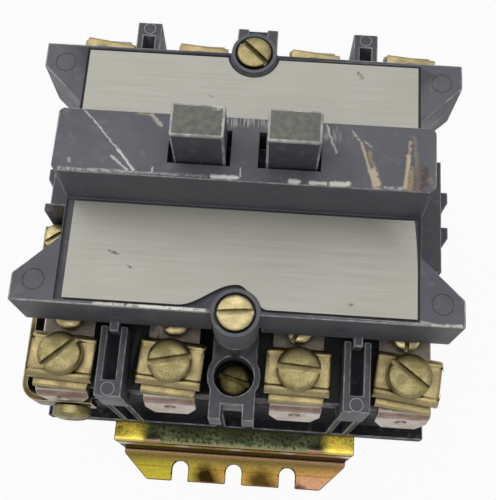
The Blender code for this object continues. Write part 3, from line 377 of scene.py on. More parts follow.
def yellow_zinc():
    """Yellow chromate on zinc-plated steel: gold ends, a speckled platform painted dark olive as a painted
    reflection of the black body above, green to rose feet.

    Bands follow X and Z with a wandering border. Brown burns lie at the tips, the upper bends carry a painted
    highlight line, the lower bends a rose line, and the feet next to the walls a painted dark reflection of
    the walls. The walls are painted dark brown as a painted reflection, with one painted highlight band, and
    dull to brown at a flat angle but in that band. Corners carry painted shade.
    """
    made, tree, shader, place = new_material("yellow_chromate_zinc_plate", 1.0)
    moved = wobbled(tree, place, 7.0, 12.0)
    near = wobbled(tree, place, 2.0, 2.0)
    fine = noise(tree, place, 0.8, 4.0, 0.4, 0.66)
    cloud = noise(tree, place, 5.0, 3.0, 0.35, 0.65)
    # Feet
    colour = layered(tree, "#7b712c",
                     (cloud, "#8e7b34", 1.0),
                     (axis_mask(tree, moved, 8.0, 22.0, "X"), "#9e7b45", 1.0),
                     (axis_mask(tree, moved, -9.0, -17.0, "X"), "#8e832a", 1.0))
    middle = axis_mask(tree, moved, -13.0, -9.0, "X")
    right = axis_mask(tree, moved, 11.0, 17.0, "X")
    for sign in SIDES:
        amber = times(tree, axis_mask(tree, near, sign * 51.0, sign * 53.4, "Y"), middle)
        rose = times(tree, axis_mask(tree, near, sign * 52.0, sign * 53.6, "Y"), right)
        crease = cross_line(tree, place, sign * 52.6, BRACKET_SHEET, 0.5)
        colour = layered(tree, colour, (amber, "#966b34", 0.55), (rose, "#a17764", 0.7),
                         (crease, "#5f4720", 0.5))
    # Platform, painted dark in the middle as a painted reflection of the black body above, with a speckle,
    # and gold at its ends
    speckle = tint(tree, fine, "#585d42", "#272c1a")
    gold = tint(tree, cloud, "#dec34e", "#cdb74e")
    ends = add(tree, "Math", {0: axis_mask(tree, near, 21.6, 24.6, "X"),
                              1: axis_mask(tree, near, -21.6, -24.6, "X")}, operation="ADD")
    platform = tint(tree, ends, speckle, gold)
    upper = axis_mask(tree, place, 20.0, 20.8, "Z")
    # Walls painted dark as a painted reflection with a painted highlight band, bends, and the darts pressed
    # in the upper bends
    wall = band_mask(tree, place, (1.9, 2.6), (20.8, 21.6), "Z")
    painted_gleam = band_mask(tree, place, (14.0, 16.0), (19.0, 20.6), "Z")
    colour = layered(tree, colour, (upper, platform, 1.0), (wall, "#6f5e2b", 0.6), (painted_gleam, "#b6a879", 0.4))
    for sign in SIDES:
        # Lines across: a painted dark reflection of the wall on the foot beside it, a rose line at the lower
        # bend and a painted highlight along the upper bend
        for y, z, wide, share, code in ((48.8, 1.6, 7.6, 0.7, "#5d4d34"), (48.7, 2.0, 1.8, 0.7, "#866655"),
                                        (48.1, 22.2, 1.1, 0.6, "#b6a57d")):
            colour = tint(tree, cross_line(tree, place, sign * y, z, wide), colour, code, share)
        beyond = times(tree, axis_mask(tree, place, sign * 47.3, sign * 47.6, "Y"),
                       axis_mask(tree, place, 14.0, 15.0, "Z"))
        for x in (-DART_X, DART_X):
            across = band_mask(tree, place, (x - 2.2, x - DART_HALF), (x + DART_HALF, x + 2.2), "X")
            colour = tint(tree, times(tree, across, beyond), colour, "#93745e", 0.75)
    # Painted shade in the corners
    colour = tint(tree, corner_shade_mask(tree, 1.2), colour, "#382d17", 0.5)
    # Burns at the feet's tips
    for sign in SIDES:
        for x, y, wide, share in ((-7.2, 54.6, 8.6, 0.96), (8.0, 55.0, 9.0, 0.85), (18.2, 56.4, 4.4, 0.85)):
            burn = line_mask(tree, near, (x - 0.6, sign * y, BRACKET_SHEET),
                             (x + 0.6, sign * 56.8, BRACKET_SHEET), wide)
            colour = tint(tree, burn, colour, "#120b04", share)
    colour = tint(tree, rubbed_edge(tree), colour, "#7d594c", 0.75)
    tree.links.new(tint(tree, painted_gleam, "#5f5038", "#ffffff"), shader.inputs["Specular Tint"])
    finish_shader(tree, shader, colour, fine, (0.2, 0.32), fine, 0.006)
    return made


def brushed_plate():
    """Thin bare aluminium: faintly brushed along its length, dull and finely stained from handling.

    The brush lines are drawn half a millimetre apart, coarser than they are, so that they show.
    """
    made, tree, shader, place = new_material("brushed_aluminium_sheet", 0.35)
    lines = noise(tree, place, 0.5, 2.0, 0.3, 0.7, stretch=(0.03, 1.0, 1.0))
    grain = noise(tree, place, 0.3, 2.0, 0.3, 0.8)
    haze = noise(tree, place, 11.0, 4.0, 0.35, 0.7)
    colour = layered(tree, "#9e9c93", (lines, "#929086", 0.2), (grain, "#8c8a80", 0.3),
                     (haze, "#8f8c80", 0.3))
    moved = wobbled(tree, place, 0.7, 0.6)
    broken = noise(tree, place, 0.5, 3.0, 0.4, 0.55)
    for start, end, width, code in PLATE_STAINS:
        mark = times(tree, face_mark(tree, moved, FLANGE_Z, start, end, width), broken)
        colour = tint(tree, mark, colour, code, 0.85)
    stain = noise(tree, place, 2.6, 5.0, 0.7, 0.78, stretch=(0.6, 1.4, 1.0), turn=(0, 0, 0.5))
    # Handling stains, then painted shade in the corners
    colour = layered(tree, colour, (stain, "#4f4c45", 0.4), (corner_shade_mask(tree, 0.8), "#46433b", 0.45))
    finish_shader(tree, shader, colour, lines, (0.4, 0.52), grain, 0.004)
    return made


def wound_varnish():
    """Varnished coil tape: red-brown, glossy, with fine layers."""
    made, tree, shader, place = new_material("varnished_coil_tape", 0.0)
    layers = noise(tree, place, 0.6, 2.0, 0.3, 0.7, stretch=(0.05, 0.05, 1.0))
    colour = tint(tree, layers, "#5e241a", "#7a3524")
    finish_shader(tree, shader, colour, layers, (0.25, 0.4), layers, 0.05)
    return made


PHENOLIC_BLOCK = moulded_phenolic("moulded_black_phenolic", "#3a3a3f", "#46464b", 0.6, pocket_z=POCKET_Z)
PHENOLIC_HOUSING = moulded_phenolic("moulded_black_phenolic_dark", "#1e1e22", "#27272b", 0.8, gloss=0.05)
PHENOLIC_COVER = moulded_phenolic("moulded_black_phenolic_scuffed", "#525258", "#5f5f63", 0.8,
                                  ((BAR_Z, BAR_MARKS), (FLANGE_Z, FLANGE_MARKS)), gloss=0.18)
PHENOLIC_POST = moulded_phenolic("moulded_black_phenolic_rubbed", "#3f3f46", "#48484f", 1.0,
                                 ((POST_Z, POST_MARKS),), worn_top=POST_Z)
PHENOLIC_RING = moulded_phenolic("rubbed_pin_mark", "#85858a", "#a0a0a2", 0.3)
BRASS = aged_metal("aged_brass", "#90855e", "#7e7451", "#3c3420", speckle=0.5)
BRASS_BRIGHT = aged_metal("handled_brass", "#b8a980", "#a0946d", "#4c4124", speckle=0.3)
BRASS_DARK = aged_metal("tarnished_brass", "#5e5536", "#494127", "#1d180e")
CLAMP_BRASS = aged_metal("stamped_brass", "#a09169", "#887c5a", "#3b321d", size=4.0, shade_reach=1.0)
JUMPER_BRASS = aged_metal("oil_darkened_brass", "#5b5138", "#342c1c", "#19140b", size=5.0, edge_wear=0.8,
                          edge_colour="#b3a683")
COPPER = strap_alloy()
LAMINATION = aged_metal("ground_lamination_steel", "#747578", "#5c5e61", "#292a2c")
SPRING_STEEL = aged_metal("drawn_spring_steel", "#8d8e90", "#797a7d", "#323234")
ZINC = yellow_zinc()
PLATE = brushed_plate()
VARNISH = wound_varnish()


# Mesh helpers

# Merging distances in mm, and angles in degrees past which an edge is shaded sharp or is rounded
SEAM = 0.001
SOLID_SEAM = 0.002
SURFACE_SHARP = 38
SOLID_SHARP = 40
SURFACE_FOLD = 45
SOLID_FOLD = 35


def grid_quads(rows, cols, loop=False):
    """Quads between neighbours on a grid of rows by cols, closed on itself along a row if loop is set."""
    index = np.arange(rows * cols).reshape(rows, cols)
    if loop:
        index = np.concatenate([index, index[:, :1]], axis=1)
    corners = (index[:-1, :-1], index[:-1, 1:], index[1:, 1:], index[1:, :-1])
    return np.stack(corners, axis=-1).reshape(-1, 4)


def joined(parts):
    """Points and quads of several surfaces put in one mesh."""
    points = np.concatenate([p for p, q in parts])
    starts = np.cumsum([0] + [len(p) for p, q in parts[:-1]])
    return points, np.concatenate([q + s for (p, q), s in zip(parts, starts)])


def new_object(name, data):
    """Object for a mesh, a lamp or a camera, linked to the scene."""
    made = bpy.data.objects.new(name, data)
    bpy.context.scene.collection.objects.link(made)
    return made


def shade(mesh, degrees):
    """Shade a mesh smooth, apart from edges that fold by more than an angle."""
    mesh.shade_smooth()
    mesh.set_sharp_from_angle(angle=math.radians(degrees))


def surface_object(name, points, faces):
    """Object from points in millimetres and faces, merged at its seams, with its faces turned outwards."""
    mesh = bpy.data.meshes.new(name)
    mesh.from_pydata((points * MM).tolist(), [], faces)
    bm = bmesh.new()
    bm.from_mesh(mesh)
    bmesh.ops.remove_doubles(bm, verts=bm.verts, dist=SEAM * MM)
    bmesh.ops.dissolve_degenerate(bm, edges=bm.edges, dist=SEAM * MM)
    bmesh.ops.recalc_face_normals(bm, faces=bm.faces)
    bm.to_mesh(mesh)
    bm.free()
    shade(mesh, SURFACE_SHARP)
    return new_object(name, mesh)


def bake_modifiers(ob):
    """Put what an object's modifiers make into its mesh."""
    graph = bpy.context.evaluated_depsgraph_get()
    graph.update()
    mesh = bpy.data.meshes.new_from_object(ob.evaluated_get(graph))
    ob.modifiers.clear()
    ob.data = mesh


def finish_piece(ob, finish, node, stands_for=True):
    """Give a piece its material and the body of the solid that it stands for or lies on."""
    ob.data.materials.clear()
    ob.data.materials.append(finish)
    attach(ob, BODY_OF[node])
    if stands_for:
        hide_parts(node)


def mesh_piece(node, points, quads, finish, rub=0.0, trim=None):
    """Finished piece from points in millimetres and quads, its edges rounded by a width named rub.

    It stands for a solid, or lies on it as a trim with a name of its own.
    """
    ob = surface_object(trim or node + "_finished", points, quads.tolist())
    if rub:
        rub_edges(ob, edge_lie(ob.data)[2] > SURFACE_FOLD, rub, 1, finish)
    finish_piece(ob, finish, node, not trim)
    return ob


def read(items, name, kind=np.int32, width=1):
    """Values of a mesh's points, edges, corners or faces as an array, with a row for each if wider than 1."""
    values = np.empty(len(items) * width, kind)
    items.foreach_get(name, values)
    return values.reshape(-1, width) if width > 1 else values


def edge_lie(mesh):
    """Middles, unit directions and outward folds of a closed mesh's edges.

    The fold is the angle between the two faces' normals in degrees, and is negative at an inner corner, where
    the second face's inward direction n x d climbs above the first face.
    """
    points = read(mesh.vertices, "co", float, 3) / MM
    ends = read(mesh.edges, "vertices", width=2)
    edge_of = read(mesh.loops, "edge_index")
    starts_at = read(mesh.loops, "vertex_index")
    sizes = read(mesh.polygons, "loop_total")
    normals = read(mesh.polygons, "normal", float, 3)
    face_of = np.repeat(np.arange(len(sizes)), sizes)
    order = np.argsort(edge_of, kind="stable")
    first = order[np.searchsorted(edge_of[order], np.arange(len(ends)), side="left")]
    last = order[np.searchsorted(edge_of[order], np.arange(len(ends)), side="right") - 1]
    along = points[ends[:, 1]] - points[ends[:, 0]]
    along /= np.maximum(np.linalg.norm(along, axis=1, keepdims=True), 1e-9)
    one = normals[face_of[first]]
    two = normals[face_of[last]]
    back = np.where(starts_at[last] == ends[:, 0], 1.0, -1.0)[:, None] * along
    climb = np.sum(one * np.cross(two, back), axis=1)
    fold = np.degrees(np.arccos(np.clip(np.sum(one * two, axis=1), -1, 1)))
    return points[ends].mean(axis=1), along, np.where(climb < 0, fold, -fold)


def round_edges(ob, picked, width, segments, finish):
    """Bake a bevel on the picked edges and return which of the new mesh's faces it made, as 0 or 1."""
    ob.data.materials.clear()
    ob.data.materials.append(finish)
    ob.data.materials.append(finish)
    weights = ob.data.attributes.new("bevel_weight_edge", "FLOAT", "EDGE")
    weights.data.foreach_set("value", picked.astype(np.float32))
    bevel = ob.modifiers.new("rounded_edges", "BEVEL")
    bevel.width = width * MM
    bevel.segments = segments
    bevel.limit_method = "WEIGHT"
    bevel.use_clamp_overlap = False
    bevel.harden_normals = True
    bevel.material = 1
    bake_modifiers(ob)
    mesh = ob.data
    made = read(mesh.polygons, "material_index")
    mesh.polygons.foreach_set("material_index", np.zeros_like(made))
    mesh.attributes.remove(mesh.attributes["bevel_weight_edge"])
    return made


def rub_edges(ob, picked, width, segments, finish):
    """Round the picked edges and mark the new faces with the attribute rubbed_edge, where wear shows."""
    made = round_edges(ob, picked, width, segments, finish)
    rubbed = ob.data.attributes.new("rubbed_edge", "FLOAT", "FACE")
    rubbed.data.foreach_set("value", made.astype(np.float32))


def rounded_copy(node, width, finish, segments=2, wide=None, wide_width=0.0, skip=None):
    """Copy of a solid with its triangles merged, flat faces joined and its outer edges rounded.

    Edges that the test named wide picks get a larger radius first, and those that skip picks stay sharp.
    """
    name = node + "_finished"
    bm = bmesh.new()
    bm.from_mesh(NODES[node].data)
    bmesh.ops.remove_doubles(bm, verts=bm.verts, dist=SOLID_SEAM * MM)
    bmesh.ops.dissolve_limit(bm, angle_limit=math.radians(1.0), verts=bm.verts, edges=bm.edges)
    mesh = bpy.data.meshes.new(name)
    bm.to_mesh(mesh)
    bm.free()
    shade(mesh, SOLID_SHARP)
    ob = new_object(name, mesh)
    if wide:
        middles, along, fold = edge_lie(ob.data)
        round_edges(ob, (fold > SOLID_FOLD) & wide(middles, along), wide_width, 4, finish)
    middles, along, fold = edge_lie(ob.data)
    picked = fold > SOLID_FOLD
    if skip:
        picked &= ~skip(middles, along)
    rub_edges(ob, picked, width, segments, finish)
    finish_piece(ob, finish, node)


def filleted(points, radii, steps=6):
    """Polyline in a plane whose inner corners are arcs tangent to both legs, of one radius or one each."""
    points = np.array(points, float)
    radii = np.broadcast_to(radii, len(points) - 2)
    out = [points[:1]]
    for before, corner, after, radius in zip(points, points[1:], points[2:], radii):
        back = (before - corner) / np.linalg.norm(before - corner)
        on = (after - corner) / np.linalg.norm(after - corner)
        half = math.acos(float(np.clip(np.dot(back, on), -1, 1))) / 2
        middle = (back + on) / np.linalg.norm(back + on)
        centre = corner + middle * radius / math.sin(half)
        first = corner + back * radius / math.tan(half) - centre
        turn = (math.pi - 2 * half) * np.linspace(0, 1, steps + 1)
        side = np.sign(back[0] * on[1] - back[1] * on[0])
        spin = -side * turn
        out.append(centre + np.stack([first[0] * np.cos(spin) - first[1] * np.sin(spin),
                                      first[0] * np.sin(spin) + first[1] * np.cos(spin)], axis=1))
    out.append(points[-1:])
    return np.concatenate(out)


def evenly(path, step):
    """Path with extra points where its first two columns make a step longer than the given one."""
    counts = np.maximum(np.linalg.norm(np.diff(path[:, :2], axis=0), axis=1) / step, 1).astype(int)
    pieces = [np.linspace(a, b, n, endpoint=False) for a, b, n in zip(path, path[1:], counts)]
    return np.concatenate(pieces + [path[-1:]])


def plane_normals(path):
    """Unit normals of a path in a plane, to the left of its direction."""
    run = np.gradient(path, axis=0)
    run /= np.linalg.norm(run, axis=1, keepdims=True)
    return np.stack([-run[:, 1], run[:, 0]], axis=1)


def carried(path, across, axis):
    """Grid of a path in a plane, carried along the axis across that plane, and the path's normals on it."""
    plane = [k for k in range(3) if k != axis]
    middle = np.zeros((len(across), len(path), 3))
    middle[..., axis] = across[:, None]
    middle[..., plane] = path
    facing = np.zeros_like(middle)
    facing[..., plane] = plane_normals(path)
    return middle, facing


def thick_sheet(middle, normals, thickness):
    """Closed sheet: a grid moved half a thickness each way along its normals and joined at its rim."""
    rows, cols = middle.shape[:2]
    count = rows * cols
    quads = grid_quads(rows, cols)
    index = np.arange(count).reshape(rows, cols)
    rim = np.concatenate([index[0, :-1], index[:-1, -1], index[-1, :0:-1], index[:0:-1, 0]])
    after = np.roll(rim, -1)
    sides = np.stack([rim, after, after + count, rim + count], axis=1)
    points = np.concatenate([(middle + normals * thickness / 2).reshape(-1, 3),
                             (middle - normals * thickness / 2).reshape(-1, 3)])
    return points, np.concatenate([quads, quads[:, ::-1] + count, sides])


def turned(points, degrees):
    """Points turned about the Z axis."""
    a = math.radians(degrees)
    spin = np.array([[math.cos(a), math.sin(a), 0.0], [-math.sin(a), math.cos(a), 0.0], [0.0, 0.0, 1.0]])
    return points @ spin


def helix(radius, wire, turns, low, high, per_turn=24, sides=10):
    """Round wire on a helix: a circle of the wire's size carried along the winding, closed at its ends."""
    t = np.linspace(0, turns, turns * per_turn + 1)
    angle = 2 * math.pi * t
    out = np.stack([np.cos(angle), np.sin(angle), np.zeros_like(t)], axis=1)
    centre = out * radius
    centre[:, 2] = low + wire / 2 + (high - low - wire) * t / turns
    swing = 2 * math.pi * np.arange(sides) / sides
    size = np.concatenate([[0.0], np.full(len(t), wire / 2), [0.0]])
    centre = np.concatenate([centre[:1], centre, centre[-1:]])
    out = np.concatenate([out[:1], out, out[-1:]])
    up = np.array([0.0, 0.0, 1.0])
    ring = out[:, None] * np.cos(swing)[None, :, None] + up * np.sin(swing)[None, :, None]
    points = centre[:, None] + ring * size[:, None, None]
    return points.reshape(-1, 3), grid_quads(len(centre), sides, loop=True)


def torus(centre, radius, thick, around=40, sides=8):
    """Ring: a small circle carried round a large one in a plane of constant height."""
    a = 2 * math.pi * np.arange(around) / around
    b = 2 * math.pi * np.arange(sides) / sides
    reach = radius + thick * np.cos(b)[None, :]
    points = np.stack([reach * np.cos(a)[:, None], reach * np.sin(a)[:, None],
                       np.repeat(thick * np.sin(b)[None, :], around, axis=0)], axis=-1) + np.array(centre)
    index = np.arange(around * sides).reshape(around, sides)
    far = np.roll(index, -1, axis=0)
    quads = np.stack([index, far, np.roll(far, -1, axis=1), np.roll(index, -1, axis=1)], axis=-1)
    return points.reshape(-1, 3), quads.reshape(-1, 4)


# Screws

ScrewHead = namedtuple("ScrewHead", "height side slot_width slot_depth power")
BINDING_HEAD = ScrewHead(2.9, 1.8, 1.25, 1.5, 3.4)
CONTACT_HEAD = ScrewHead(2.2, 1.2, 1.0, 1.0, 2.2)
FILLISTER_HEAD = ScrewHead(2.6, 1.9, 1.2, 1.4, 2.4)
COIL_HEAD = ScrewHead(2.5, 1.5, 1.0, 1.1, 2.2)
JUMPER_HEAD = ScrewHead(3.0, 1.7, 1.2, 1.4, 2.2)
JUMPER_SHANK_R = 1.5
TERMINAL_TURN = {"load": (42.0, 12.0, -4.0, -37.0), "line": (20.0, -30.0, 65.0, 5.0)}
CONTACT_TURN = (0.0, 30.0, 60.0, 90.0)
COVER_SCREW_TURN = {"load": 5.0, "line": -42.0}
COVER_SCREW_FINISH = {"load": BRASS_BRIGHT, "line": BRASS}
BLOCK_SCREW_TURN = -16.0
COIL_SCREW_TURN = 35.0


def slotted_screw(head_r, head, shank_r, shank_l):
    """Domed slotted screw about Z, the underside of its head at z = 0.

    Rows run along the slot: x = s * sqrt(R^2 - y^2) with s from -1 to 1. The height is
    side + (head - side) * (1 - (r / R)^p)^(1 / p), or the slot's floor between its walls.
    The rim is carried down to the underside and shank as scaled copies of itself.
    """
    half = head.slot_width / 2
    low = -half - (head_r - half) * np.cos(np.linspace(0, math.pi / 2, 14))
    y = np.concatenate([low, [-half, 0.0, half], -low[::-1]])
    floor = np.zeros(len(y), bool)
    floor[len(low):len(low) + 3] = True
    s = np.sin(np.linspace(-math.pi / 2, math.pi / 2, 25))
    x = s[None, :] * np.sqrt(np.maximum(head_r ** 2 - y ** 2, 0.0))[:, None]
    yy = np.repeat(y[:, None], len(s), axis=1)
    r = np.clip(np.hypot(x, yy) / head_r, 0.0, 1.0)
    dome = head.side + (head.height - head.side) * (1.0 - r ** head.power) ** (1.0 / head.power)
    z = np.where(floor[:, None], np.minimum(dome, head.height - head.slot_depth), dome)
    top = np.stack([x, yy, z], axis=-1)
    rim = np.concatenate([top[:, -1], top[::-1, 0]])
    shank = shank_r / head_r
    levels = ((1.0, 0.2), (0.96, 0.0), (shank, 0.0), (shank, -shank_l), (0.0, -shank_l))
    rings = [rim] + [np.concatenate([rim[:, :2] * f, np.full((len(rim), 1), h)], axis=1) for f, h in levels]
    wall = np.stack(rings)
    return joined([(top.reshape(-1, 3), grid_quads(*top.shape[:2])),
                   (wall.reshape(-1, 3), grid_quads(*wall.shape[:2], loop=True))])


def place_screw(node, finish, head, turn):
    """Screw set where its solid is: head radius, seat and length come from the solid's own box."""
    low, high = limits(node)
    head_r = (high[0] - low[0]) / 2
    seat = (low + high) / 2
    seat[2] = high[2] - head.height
    points, quads = slotted_screw(head_r, head, head_r * 0.45, seat[2] - low[2])
    mesh_piece(node, turned(points, turn) + seat, quads, finish)


def make_screws():
    """All slotted screws, with domed heads and open slots; the jumper's lies along Y."""
    for end in ENDS:
        for i in POLES:
            place_screw(f"terminal_screw_{end}_{i}", BRASS, BINDING_HEAD, TERMINAL_TURN[end][i - 1])
            place_screw(f"contact_screw_{end}_{i}", BRASS_BRIGHT, CONTACT_HEAD, CONTACT_TURN[i - 1])
        place_screw("cover_screw_" + end, COVER_SCREW_FINISH[end], FILLISTER_HEAD, COVER_SCREW_TURN[end])
        place_screw("block_screw_" + end, BRASS_DARK, FILLISTER_HEAD, BLOCK_SCREW_TURN)
    place_screw("coil_terminal_screw", BRASS_BRIGHT, COIL_HEAD, COIL_SCREW_TURN)
    low, high = limits("jumper_screw")
    seat = (low + high) / 2
    seat[1] = low[1] + JUMPER_HEAD.height
    points, quads = slotted_screw((high[0] - low[0]) / 2, JUMPER_HEAD, JUMPER_SHANK_R, high[1] - seat[1])
    lying = np.stack([points[:, 0], -points[:, 2], points[:, 1]], axis=1)
    mesh_piece("jumper_screw", lying + seat, quads, BRASS)


# Terminal clamps

CLAMP_TURN = {"load": (-3.0, -4.0, -1.0, -7.0), "line": (172.0, 175.3, 173.9, 174.8)}
WIRE_PLATE_REACH = {"load": 6.6, "line": 8.4}
WIRE_PLATE_SHEET = 0.95
WIRE_PLATE_Z = 0.5
WIRE_PLATE_HALF = 5.8
WEB_HALF_X = 4.9
WEB_HALF_Y = 3.2
SADDLE_SHEET = 0.85
SADDLE_HALF_Y = 4.2
SADDLE_SHIFT_Y = -0.1
SADDLE_BEND_X = 5.9
SADDLE_BEND_DROP = 0.3
SADDLE_LIP = 1.35
BEAD_Y = 3.75
BEAD_HEIGHT = 0.28
BEAD_WIDTH = 0.34


def clamp_surface(height, reach):
    """Saddle clamp for the load end: the underside of its wire plate at z = 0, its top at a height.

    The saddle is a sheet whose height is flat with a bead near each long edge, exp(-((|y| - e) / w)^2),
    turned down past the beads and at its two short ends. The wire plate is a flat sheet out to a reach,
    with a turned-down outer edge, and a web joins the two.
    """
    saddle_z = height - 0.72
    lip = min(saddle_z - 0.7, SADDLE_LIP)
    y = np.linspace(-SADDLE_HALF_Y, SADDLE_HALF_Y, 41)
    z = saddle_z + BEAD_HEIGHT * np.exp(-((np.abs(y) - BEAD_Y) / BEAD_WIDTH) ** 2)
    edge = np.array([(4.4, saddle_z - 0.25), (4.5, saddle_z - lip / 2), (4.52, saddle_z - lip)])
    path = np.concatenate([edge[::-1] * (-1, 1), np.stack([y, z], axis=1), edge]) + (SADDLE_SHIFT_Y, 0.0)
    end = np.linspace(SADDLE_BEND_X, SADDLE_BEND_X + 1.0, 6)
    across = np.concatenate([-end[::-1], np.linspace(-5.0, 5.0, 7), end])
    middle, facing = carried(path, across, 0)
    middle[..., 2] -= SADDLE_BEND_DROP * np.clip(np.abs(across) - SADDLE_BEND_X, 0, 1)[:, None] ** 2
    saddle = thick_sheet(middle, facing, SADDLE_SHEET)
    rim_y = 0.5 - reach
    plate_path = filleted([(3.6, WIRE_PLATE_Z), (rim_y, WIRE_PLATE_Z), (rim_y, -0.1)], 0.3)
    plate_x = np.linspace(-WIRE_PLATE_HALF, WIRE_PLATE_HALF, 9)
    plate = thick_sheet(*carried(evenly(plate_path, 1.0), plate_x, 0), WIRE_PLATE_SHEET)
    web_y = np.linspace(-WEB_HALF_Y, WEB_HALF_Y, 5)
    web_path = np.stack([web_y, np.full(5, (saddle_z + WIRE_PLATE_Z) / 2)], axis=1)
    web = thick_sheet(*carried(web_path, np.linspace(-WEB_HALF_X, WEB_HALF_X, 5), 0), saddle_z - WIRE_PLATE_Z)
    return joined([saddle, plate, web])


def make_clamps():
    """Saddle clamps at both ends, turned as the solids are; those of the line end are screwed flat."""
    for end in ENDS:
        low, high = limits(f"clamp_{end}_1")
        points, quads = clamp_surface(high[2] - low[2], WIRE_PLATE_REACH[end])
        for i in POLES:
            node = f"clamp_{end}_{i}"
            low, high = limits(f"terminal_screw_{end}_{i}")
            seat = (low + high) / 2
            seat[2] = limits(node)[0][2]
            mesh_piece(node, turned(points, CLAMP_TURN[end][i - 1]) + seat, quads, CLAMP_BRASS, rub=0.18)


# Bracket, nameplates and jumper

def slot_cutter(x, sign, tip):
    """Block as wide as a foot's slot, round at its inner end, that reaches past the tip and both faces."""
    past = tip + 2.0
    a = np.linspace(0, math.pi, 17)
    arc = FOOT_SLOT_R * np.stack([np.cos(a), -np.sin(a)], axis=1) + (0.0, tip - FOOT_SLOT_DEPTH)
    outline = np.concatenate([[(FOOT_SLOT_R, past)], arc, [(-FOOT_SLOT_R, past)]]) * (1, sign) + (x, 0.0)
    count = len(outline)
    rings = [np.concatenate([outline, np.full((count, 1), z)], axis=1) for z in (-1.0, 3.0)]
    faces = grid_quads(2, count, loop=True).tolist()
    faces += [list(range(count))[::-1], list(range(count, 2 * count))]
    return surface_object("slot_cutter", np.concatenate(rings), faces)


def make_bracket():
    """Bracket: one sheet bent along feet, step walls and platform, with slots cut open at the feet's tips.

    Its two faces are polylines in the Y and Z plane with arcs at their corners, carried across X. The half
    width is the platform's until the foot's shoulder and then narrows in a straight line. A dart in each
    upper bend lifts the sheet by a bell shape in X and along the path.
    """
    high = limits("mounting_bracket")[1]
    base = BRACKET_SHEET / 2
    wall = BRACKET_WALL_Y
    tip = high[1]
    top = high[2] - base
    faces = []
    for side, bend in ((1, (0.5, 0.8, 0.8, 0.5)), (-1, (1.4, 0.5, 0.5, 1.4))):
        low_z = base * (1 + side)
        high_z = top + side * base
        out = wall + side * base
        corner = [(-tip, low_z), (-out, low_z), (-out, high_z), (out, high_z), (out, low_z), (tip, low_z)]
        faces.append(filleted(corner, bend, 8))
    both = evenly(np.concatenate(faces, axis=1), 0.8)
    path = (both[:, :2] + both[:, 2:]) / 2
    share = np.linspace(-1, 1, 97)
    foot = np.clip((np.abs(path[:, 0]) - FOOT_SHOULDER_Y) / (tip - FOOT_SHOULDER_Y), 0, 1)
    half = high[0] + (FOOT_TIP_HALF - high[0]) * foot
    x = share[:, None] * half[None, :]
    from_bend = np.hypot(np.abs(path[:, 0]) - wall, path[:, 1] - top)
    over_x = np.exp(-((np.abs(x) - DART_X) / DART_HALF) ** 6)
    dart = DART_LIFT * over_x * np.exp(-(from_bend[None, :] / DART_REACH) ** 4)
    middle, facing = carried(path, share, 0)
    middle[..., 0] = x
    facing[..., 1:] = both[:, :2] - both[:, 2:]
    middle += facing * dart[..., None] / BRACKET_SHEET
    points, quads = thick_sheet(middle, facing, 1.0)
    ob = surface_object("mounting_bracket_finished", points, quads.tolist())
    cutters = [slot_cutter(place * FOOT_SLOT_PITCH, sign, tip) for sign in SIDES for place in (-1, 0, 1)]
    for cutter in cutters:
        step = ob.modifiers.new("slot", "BOOLEAN")
        step.operation = "DIFFERENCE"
        step.solver = "EXACT"
        step.object = cutter
    bake_modifiers(ob)
    shade(ob.data, SURFACE_SHARP)
    rub_edges(ob, edge_lie(ob.data)[2] > SURFACE_FOLD, 0.25, 1, ZINC)
    finish_piece(ob, ZINC, "mounting_bracket")
    for cutter in cutters:
        bpy.data.objects.remove(cutter, do_unlink=True)


NAMEPLATE_SHEET = 0.42
BITE_R = 5.6
DIP_DEPTH = 4.7
DIP_LEFT = 11.5
DIP_RIGHT = 6.2
CURL_X = 9.0
CURL_Y = 12.0
CURL = (-0.9, -0.5, 1.5)


def make_nameplates():
    """Nameplates: thin sheets over x and v, where v runs from the bar to the outer edge.

    The upper plate's outer edge follows a circle round its cover screw. The lower plate's edge dips by
    depth * (1 + cos(pi * x / w)) / 2, wider to the left than to the right, and its right corner by the bar is
    curled up by the square of its closeness to that corner.
    """
    for node, side in (("upper_nameplate", 1), ("lower_nameplate", -1)):
        low, high = limits(node)
        inner = min(abs(low[1]), abs(high[1]))
        outer = max(abs(low[1]), abs(high[1]))
        x = np.unique(np.concatenate([np.linspace(low[0], high[0], 57), np.linspace(-12, 12, 97)]))
        if side > 0:
            edge = COVER_SCREW_Y - np.sqrt(np.maximum(BITE_R ** 2 - x ** 2, 0.0))
            dip = np.maximum(outer - edge, 0.0)
        else:
            share = np.clip(x / np.where(x < 0, DIP_LEFT, DIP_RIGHT), -1, 1)
            dip = DIP_DEPTH * (1 + np.cos(math.pi * share)) / 2
        v = np.linspace(0, 1, 25)
        y = inner + v[None, :] * (outer - dip - inner)[:, None]
        middle = np.zeros((len(x), len(v), 3))
        middle[..., 0] = x[:, None]
        middle[..., 1] = side * y
        middle[..., 2] = (low[2] + high[2]) / 2
        if side < 0:
            close = np.clip(1 - (high[0] - x[:, None]) / CURL_X - (y - inner) / CURL_Y, 0, 1)
            middle += close[..., None] ** 2 * CURL
        points, quads = thick_sheet(middle, np.array([0.0, 0.0, 1.0]), NAMEPLATE_SHEET)
        mesh_piece(node, points, quads, PLATE)


JUMPER_SHEET = 1.3
JUMPER_TAB_X = -40.2
JUMPER_TAB_WIDTH = 6.0


